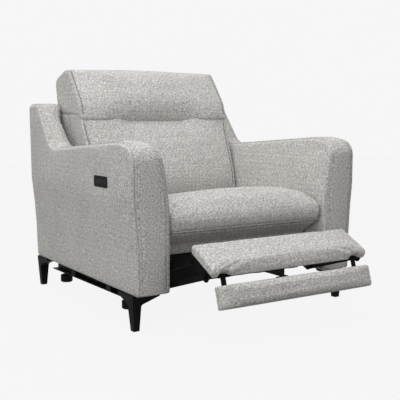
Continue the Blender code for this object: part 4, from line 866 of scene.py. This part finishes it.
def relax(obj, repeats):
    step = obj.modifiers.new("relax", "SMOOTH")
    step.iterations = repeats
    step.factor = RELAX_SHARE
    apply_modifiers(obj)


def refine(obj):
    step = obj.modifiers.new("refine", "SUBSURF")
    step.levels = 1
    step.render_levels = 1
    apply_modifiers(obj)


def inflate(jobs):
    """Swells cushions under pressure; jobs are (object, what is held, pressure, longest move)."""
    starts = []
    for obj, held, pressure, cap in jobs:
        starts.append([v.co.copy() for v in obj.data.vertices])
        group = obj.vertex_groups.new(name="held")
        held_points = [v.index for v in obj.data.vertices if held(v.co, v.normal)]
        group.add(held_points, 1.0, "REPLACE")
        cloth = obj.modifiers.new("cloth", "CLOTH")
        cloth.point_cache.frame_end = CLOTH_FRAMES
        settings = cloth.settings
        settings.quality = CLOTH_QUALITY
        settings.mass = 0.35
        settings.tension_stiffness = 18
        settings.compression_stiffness = 14
        settings.bending_stiffness = 1.2
        settings.use_pressure = True
        settings.uniform_pressure_force = pressure
        settings.vertex_group_mass = "held"
        settings.pin_stiffness = 1.0
        settings.effector_weights.gravity = 0
        cloth.collision_settings.use_collision = False
    scene = bpy.context.scene
    for number in range(1, CLOTH_FRAMES + 1):
        scene.frame_set(number)
    meshes = [evaluated_mesh(job[0]) for job in jobs]
    scene.frame_set(1)
    for (obj, _, _, cap), start, mesh in zip(jobs, starts, meshes):
        obj.modifiers.clear()
        for vert, before, after in zip(obj.data.vertices, start, mesh.vertices):
            move = after.co - before
            if move.length > cap:
                move *= cap / move.length
            vert.co = before + move
        bpy.data.meshes.remove(mesh)
        obj.vertex_groups.clear()


def surface(obj):
    bpy.context.view_layer.update()
    return BVHTree.FromObject(obj, bpy.context.evaluated_depsgraph_get())


def trace(tree, starts, way):
    """Where lines from starts along way first meet a surface: (point, normal)."""
    path = []
    for start in starts:
        hit, normal, _, _ = tree.ray_cast(start, way)
        if hit is not None:
            path.append((hit, normal))
    return path


def groove(obj, path, depth, half_width):
    """Draws the surface in along a path, as a sewn seam does."""
    tree = KDTree(len(path))
    for i, (point, _) in enumerate(path):
        tree.insert(point, i)
    tree.balance()
    moves = []
    for vert in obj.data.vertices:
        _, _, gap = tree.find(vert.co)
        if gap < GROOVE_REACH * half_width:
            moves.append((vert, vert.normal * depth * exp(-((gap / half_width) ** 2))))
    for vert, move in moves:
        vert.co -= move


def along(count, low, high):
    return [low + (high - low) * i / (count - 1) for i in range(count)]


def seam(obj, name, path, body, piping, rows, depth, half_width):
    """A seam along a path: a groove, piping in it if any, and rows of stitches beside it."""
    groove(obj, path, depth, half_width)
    tree = surface(obj)
    if piping:
        points = [point - normal * (depth - piping * PIPING_PROUD) for point, normal in path]
        thin_piece(tube(f"{name}_piping", points, piping, PIPING), body)
    for k, offset in enumerate(rows):
        moved = []
        for i, (point, normal) in enumerate(path):
            ahead = path[min(i + 1, len(path) - 1)][0] - path[max(i - 1, 0)][0]
            across = normal.cross(ahead).normalized()
            hit, hit_normal, _, _ = tree.find_nearest(point + across * offset)
            moved.append((hit, hit_normal))
        thin_piece(stitch_row(f"{name}_stitches_{k}", moved), body)


# Cushions

def head_shape(co):
    """The headrest's front hangs over the tuck in the middle."""
    low, _ = box("headrest_cushion")
    middle = 1 - smooth_step(*TUCK_MIDDLE, abs(co.x))
    wide = 1 - smooth_step(*TUCK_WIDE, abs(co.x))
    front = 1 - smooth_step(low.y + HEAD_FRONT[0], low.y + HEAD_FRONT[1], co.y)
    foot = 1 - smooth_step(low.z, low.z + HEAD_FOOT, co.z)
    co.z -= (HEAD_DROP + HEAD_MIDDLE_DROP * middle) * front * foot
    under = max(0.0, low.z + HEAD_TURN_HEIGHT - co.z) / HEAD_TURN_REACH
    co.y += (HEAD_TURN * wide * under * under - HEAD_FOOT_OUT * foot) * front
    return co


def raise_top(co, high):
    """Brings the top of a piece of the back up to the headrest."""
    co.z += (BEND_HIGH_Z - high.z) * smooth_step(high.z - BACK_STRETCH, high.z, co.z)
    return co


def lumbar_top(co):
    """The lumbar part reaches up to the headrest and down to the seat."""
    low, high = box("back_cushion")
    co = raise_top(co, high)
    co.z -= LUMBAR_SINK * (1 - smooth_step(low.z, low.z + BACK_STRETCH, co.z))
    return drawn_in(co)


def lumbar_shape(co):
    """The front of the lumbar part rolls back under the headrest, most in the middle."""
    low, high = box("back_cushion")
    middle = 1 - smooth_step(*TUCK_MIDDLE, abs(co.x))
    near = 1 - smooth_step(0.0, LUMBAR_FRONT_REACH, co.y - low.y - LUMBAR_FRONT)
    over = max(0.0, co.z - high.z + LUMBAR_ROLL_HEIGHT) / LUMBAR_ROLL_REACH
    co.y += (LUMBAR_ROLL + LUMBAR_MIDDLE_ROLL * middle) * near * min(LUMBAR_ROLL_LIMIT, over * over)
    return co


def frame_shape(co):
    """The back's frame, brought out to the sides and up: the boxing strip round the back covers it."""
    _, high = box("back_frame")
    co.x *= (back_half_width(co.z) - FRAME_INSET) / high.x
    return raise_top(co, high)


def panel_shape(co):
    """The outer back, up to the headrest like the rest of the back."""
    _, high = box("back_panel")
    return drawn_in(raise_top(co, high))


def back_half_width(z):
    """Half the width of the back's front at a height."""
    cushion, headrest = box("back_cushion")[1].x, box("headrest_cushion")[1].x
    table = [(at, cushion - inset) for at, inset in (BACK_EDGE_LOW, BACK_EDGE_MIDDLE)]
    table.append((BACK_EDGE_TOP[0], headrest - BACK_EDGE_TOP[1]))
    return blend_table(table, z)


def drawn_in(co):
    """Draws the foot of the back in, clear of the arms."""
    co.x *= 1 - BACK_DRAW * (1 - smooth_step(*BACK_DRAW_Z, co.z))
    return co


def seat_block():
    """A plain block of the seat's width and depth, which seat_shape makes into a cushion."""
    low, high = box("seat_cushion")
    work = bmesh.new()
    bmesh.ops.create_cube(work, size=1.0)
    for vert in work.verts:
        share = vert.co + Vector((0.5, 0.5, 0.5))
        vert.co = Vector(a + (b - a) * s for a, b, s in zip(low, high, share))
    return make_object("seat_upholstery", mesh_from("seat_upholstery", work), FABRIC)


def seat_shape(co):
    """A crowned seat that falls a little to the back, with a full, round nose and round ends."""
    low, high = box("seat_cushion")
    into = max(0.0, co.y - low.y - SEAT_NOSE)
    crest = SEAT_CREST_Z - SEAT_CROWN * co.x * co.x - SEAT_FALL * into
    co.z = low.z + (crest - low.z) * (co.z - low.z) / (high.z - low.z)
    side = 1 if co.x > 0 else -1
    u = share_past(abs(co.x), high.x, SEAT_END)
    v = share_past(-co.y, -low.y, SEAT_NOSE)
    w = share_past(co.z, crest, crest - SEAT_NOSE_Z)
    co.x += side * SEAT_END * (ball(u, 0.0, w) - u)
    co.y -= SEAT_NOSE * (ball(v, w, 0.0) - v)
    co.z += (crest - SEAT_NOSE_Z) * (ball(w, u, v) - w)
    under = max(0.0, SEAT_NOSE_Z - co.z) / (SEAT_NOSE_Z - low.z)
    co.y += SEAT_UNDER * under * under * v
    return co


def rail_block():
    """The front rail with its padded roll, as one length of the same section."""
    low, high = box("seat_front_rail")
    front, back = low.y - ARM_FRONT, high.y - ARM_FRONT
    corners = [
        (ROLL_FRONT_Y, ROLL_TOP_Z, ROLL_TOP_RADIUS),
        (front - RAIL_PADDING, ROLL_FOOT_Z, ROLL_FOOT_RADIUS),
        (front + RAIL_SLANT, RAIL_FOOT_Z, RAIL_RADIUS),
        (back, RAIL_FOOT_Z, RAIL_RADIUS),
        (back, high.z, RAIL_RADIUS),
        (front, high.z, RAIL_RADIUS),
        (front, ROLL_TOP_Z, RAIL_RADIUS),
    ]
    outline = rounded(corners)
    half = high.x + RAIL_END
    work = bmesh.new()
    ends = [[work.verts.new(place(x, y, z)) for y, z in outline] for x in (-half, half)]
    skin(work, ends)
    name = "front_rail_upholstery"
    return make_object(name, mesh_from(name, work), FABRIC)


def share_past(value, edge, reach):
    """How far a value has gone into the reach before an edge, from 0 to 1."""
    return min(1.0, max(0.0, (value - edge) / reach + 1))


def ball(a, b, c):
    """The place along a of a point of a unit cube that is drawn to the unit ball."""
    return a * (1 - b * b / 2 - c * c / 2 + b * b * c * c / 3) ** 0.5


def pad_shape(co):
    """A pad with a plumb front edge, let in where the flipper's bars fold under it."""
    level, slope = cos(PAD_TILT), sin(PAD_TILT)
    offset = co - place(0.0, *PAD_FRONT_TOP)
    run = -offset.y * level - offset.z * slope
    depth = offset.y * slope - offset.z * level
    push = PAD_PLUMB * max(0.0, depth) * smooth_step(-PAD_PLUMB_RUN, 0.0, run)
    push *= 1 - BAR_NOTCH_DEPTH * (1 - smooth_step(*BAR_NOTCH, abs(abs(co.x) - FLIPPER_BAR_X)))
    co.y -= push * level
    co.z -= push * slope
    return co


def widen_board(node, tilt, extra):
    """A rule that brings a pad's board out to the pad's edges, where the cloth is drawn over it."""
    low, high = box(node)
    middle = (low + high) / 2
    way = Vector((0.0, cos(tilt), sin(tilt)))
    length = (high - low).dot(way)
    wide = (high.x + PAD_BOARD_INSET) / high.x

    def rule(co):
        along_pad = (co - middle).dot(way)
        co += way * along_pad * (2 * extra / length)
        co.x *= wide
        return co

    return rule


def build_cushions():
    """Makes the soft pieces: remeshed, shaped, swollen as cloth, sewn and lined."""
    seat = seat_block()
    parts = [("back_cushion", lumbar_top), ("back_frame", frame_shape), ("back_panel", panel_shape)]
    back = join_nodes("back_upholstery", parts)
    head = join_nodes("headrest_upholstery", [("headrest_cushion", None)])
    board = widen_board("footrest_board", PAD_TILT, PAD_BOARD_EXTRA)
    pad = join_nodes("footrest_upholstery", [("footrest_pad", None), ("footrest_board", board)])
    board = widen_board("flipper_board", FLIPPER_TILT, FLIPPER_BOARD_EXTRA)
    flipper = join_nodes("flipper_upholstery", [("flipper_pad", None), ("flipper_board", board)])
    rail = rail_block()
    for obj, size, rule, repeats in (
        (seat, CUSHION_VOXEL, seat_shape, 3),
        (back, CUSHION_VOXEL, lumbar_shape, 4),
        (head, CUSHION_VOXEL, head_shape, 4),
        (pad, PAD_VOXEL, pad_shape, 2),
        (flipper, PAD_VOXEL, None, 2),
        (rail, PAD_VOXEL, None, 2),
    ):
        voxel(obj, size)
        reshape(obj, rule)
        relax(obj, repeats)
    top = BEND_HIGH_Z - BEND_HELD
    pad_down = Vector((0.0, sin(PAD_TILT), -cos(PAD_TILT)))
    flipper_down = Vector((0.0, sin(FLIPPER_TILT), -cos(FLIPPER_TILT)))
    inflate(
        [
            (seat, lambda co, n: n.z < -0.75 or n.y > 0.6 or abs(n.x) > 0.85, 4.0, 0.009),
            (back, lambda co, n: n.y > 0.3 or abs(n.x) > 0.75 or n.z < -0.6 or co.z > top, 4.0, 0.024),
            (head, lambda co, n: n.z < -0.6 or abs(n.x) > 0.75, 3.0, 0.014),
            (pad, lambda co, n: n.dot(pad_down) > 0.4 or abs(n.x) > 0.8, 3.0, 0.006),
            (flipper, lambda co, n: n.dot(flipper_down) > 0.4 or abs(n.x) > 0.8, 3.0, 0.006),
        ]
    )
    relax(seat, 4)
    for obj in (seat, back, head, pad, flipper):
        refine(obj)
    sew_seat(seat)
    sew_back(back, "back", "back_cushion", "back block")
    sew_back(head, "headrest", "headrest_cushion", "headrest")
    line_underside(pad, pad_down)
    line_underside(flipper, flipper_down)
    for obj, nodes, body, fill in (
        (seat, ["seat_cushion"], "base", 0.8),
        (back, ["back_cushion", "back_panel"], "back block", 0.75),
        (head, ["headrest_cushion"], "headrest", 0.8),
        (pad, ["footrest_pad", "footrest_board"], "footrest", 0.8),
        (flipper, ["flipper_pad", "flipper_board"], "flipper", 0.8),
        (rail, ["seat_front_rail"], "base", 0.95),
    ):
        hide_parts(*nodes)
        soft_piece(obj, body)


def line_underside(obj, down):
    """Black lining cloth on the hidden side of a pad."""
    obj.data.materials.append(CAMBRIC)
    for face in obj.data.polygons:
        if face.normal.dot(down) > LINED_FACING:
            face.material_index = 1


def build_lining():
    """A black cloth that hangs from the back of the front rail and hides the works."""
    low, high = box("seat_front_rail")
    top, bottom = low.z + LINING_LAP, LINING_BOTTOM_Z
    half = high.x - LINING_SIDE_GAP
    work = bmesh.new()
    across, down = LINING_GRID
    rows = []
    for j in range(down):
        share = j / (down - 1)
        row = []
        for i in range(across):
            x = half * (2 * i / (across - 1) - 1)
            waves = sum(size * sin(x * rate + phase) for rate, phase, size in LINING_WAVES)
            fold = LINING_FOLD * share * waves
            row.append(work.verts.new((x, high.y + LINING_GAP + fold, top + (bottom - top) * share)))
        rows.append(row)
    for a, b in zip(rows, rows[1:]):
        for i in range(across - 1):
            work.faces.new((a[i], a[i + 1], b[i + 1], b[i]))
    lining = make_object("front_lining", mesh_from("front_lining", work), CAMBRIC)
    step = lining.modifiers.new("thickness", "SOLIDIFY")
    step.thickness = LINING_THICKNESS
    apply_modifiers(lining)
    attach(lining, "base")


def sew_seat(seat):
    """The piping along the lower front edge."""
    low, high = box("seat_cushion")
    tree = surface(seat)
    starts = []
    for x in along(PIPING_POINTS, low.x + PIPING_END, high.x - PIPING_END):
        starts.append(Vector((x, low.y - TRACE_REACH, low.z + PIPING_RISE)))
    path = trace(tree, starts, Vector((0, 1, 0)))
    seam(seat, "seat_front", path, "base", PIPING_RADIUS, (), depth=0.004, half_width=0.007)


def sew_back(obj, name, node, body):
    """The seams down both front edges, where the front meets the boxed sides, each with a dark cord sunk in
    it that paints the seam's shadow.
    """
    low, high = box(node)
    tree = surface(obj)
    for label, side in (("left", -1), ("right", 1)):
        starts = []
        for z in along(EDGE_SEAM_POINTS, low.z + EDGE_SEAM_END, high.z - EDGE_SEAM_END):
            width = back_half_width(z) - EDGE_SEAM_INSET
            starts.append(Vector((side * width, low.y - TRACE_REACH, z)))
        path = trace(tree, starts, Vector((0, 1, 0)))
        seam(obj, f"{name}_{label}", path, body, None, EDGE_STITCH_ROWS, depth=0.005, half_width=0.004)
        # Painted shadow: a dark cord sunk along the seam line
        fold = [point - normal * SEAM_SHADOW_DEPTH for point, normal in path]
        thin_piece(tube(f"{name}_{label}_seam_shadow", fold, SEAM_SHADOW_RADIUS, THREAD_AND_SEAM_SHADOW), body)


# Stage, light and camera

def build_stage():
    """A pale floor, and a world that lights the chair and shows as a pale backdrop."""
    work = bmesh.new()
    bmesh.ops.create_grid(work, x_segments=8, y_segments=8, size=FLOOR_HALF)
    floor = make_object("floor", mesh_from("floor", work), make_floor())
    floor.location.z = -FLOOR_DROP
    world = bpy.data.worlds.new("studio")
    bpy.context.scene.world = world
    world.use_nodes = True
    tree = world.node_tree
    background = tree.nodes["Background"]
    background.inputs["Color"].default_value = (1.0, 1.0, 1.0, 1.0)
    background.inputs["Strength"].default_value = WORLD_LIGHT
    shown = tree.nodes.new("ShaderNodeBackground")
    shown.inputs["Color"].default_value = (*grey(BACKDROP_TONE), 1.0)
    path = tree.nodes.new("ShaderNodeLightPath")
    mix = tree.nodes.new("ShaderNodeMixShader")
    tree.links.new(seen_rays(tree, path), mix.inputs["Fac"])
    tree.links.new(background.outputs["Background"], mix.inputs[1])
    tree.links.new(shown.outputs["Background"], mix.inputs[2])
    tree.links.new(mix.outputs["Shader"], tree.nodes["World Output"].inputs["Surface"])


def seen_rays(tree, path):
    """Camera, glossy and transmission rays, which see the pale backdrop."""
    total = path.outputs["Is Camera Ray"]
    for name in ("Is Glossy Ray", "Is Transmission Ray"):
        add = tree.nodes.new("ShaderNodeMath")
        add.operation = "MAXIMUM"
        tree.links.new(total, add.inputs[0])
        tree.links.new(path.outputs[name], add.inputs[1])
        total = add.outputs["Value"]
    return total


def make_floor():
    """A pale floor that glows towards the camera, so that only a soft shadow is left on it."""
    material = bpy.data.materials.new("pale_floor")
    material.use_nodes = True
    tree = material.node_tree
    shader = tree.nodes["Principled BSDF"]
    shader.inputs["Base Color"].default_value = (*grey(FLOOR_TONE), 1.0)
    shader.inputs["Roughness"].default_value = 0.9
    shader.inputs["Specular IOR Level"].default_value = 0.1
    glow = tree.nodes.new("ShaderNodeEmission")
    glow.inputs["Color"].default_value = (*grey(FLOOR_GLOW), 1.0)
    path = tree.nodes.new("ShaderNodeLightPath")
    share = tree.nodes.new("ShaderNodeMath")
    share.operation = "MULTIPLY"
    share.inputs[1].default_value = FLOOR_GLOW_SHARE
    tree.links.new(seen_rays(tree, path), share.inputs[0])
    mix = tree.nodes.new("ShaderNodeMixShader")
    tree.links.new(share.outputs["Value"], mix.inputs["Fac"])
    tree.links.new(shader.outputs["BSDF"], mix.inputs[1])
    tree.links.new(glow.outputs["Emission"], mix.inputs[2])
    tree.links.new(mix.outputs["Shader"], tree.nodes["Material Output"].inputs["Surface"])
    return material


def area_light(name, where, target, size, power):
    data = bpy.data.lights.new(name, "AREA")
    data.shape = "RECTANGLE"
    data.size, data.size_y = size
    data.energy = power
    lamp = bpy.data.objects.new(name, data)
    lamp.location = where
    lamp.rotation_euler = (Vector(target) - Vector(where)).to_track_quat("-Z", "Y").to_euler()
    bpy.context.scene.collection.objects.link(lamp)


def build_camera():
    data = bpy.data.cameras.new("photo_camera")
    data.sensor_width = SENSOR_MM
    data.lens = FOCAL_PIXELS / PHOTO_PIXELS * SENSOR_MM
    camera = bpy.data.objects.new("photo_camera", data)
    level = cos(CAMERA_PITCH)
    ahead = Vector((sin(CAMERA_YAW) * level, cos(CAMERA_YAW) * level, -sin(CAMERA_PITCH)))
    right = Vector((cos(CAMERA_YAW), -sin(CAMERA_YAW), 0.0))
    up = right.cross(ahead)
    turn = Matrix((right, up, -ahead)).transposed().to_4x4()
    camera.matrix_world = Matrix.Translation(place(*CAMERA_PLACE)) @ turn
    bpy.context.scene.collection.objects.link(camera)
    bpy.context.scene.camera = camera


bpy.context.scene.view_settings.view_transform = "Standard"
build_camera()
build_stage()
for light in LIGHTS:
    area_light(*light)
dress_frame()
for arm_label, arm_side in (("left", -1), ("right", 1)):
    build_arm(arm_label, arm_side)
build_cushions()
build_lining()
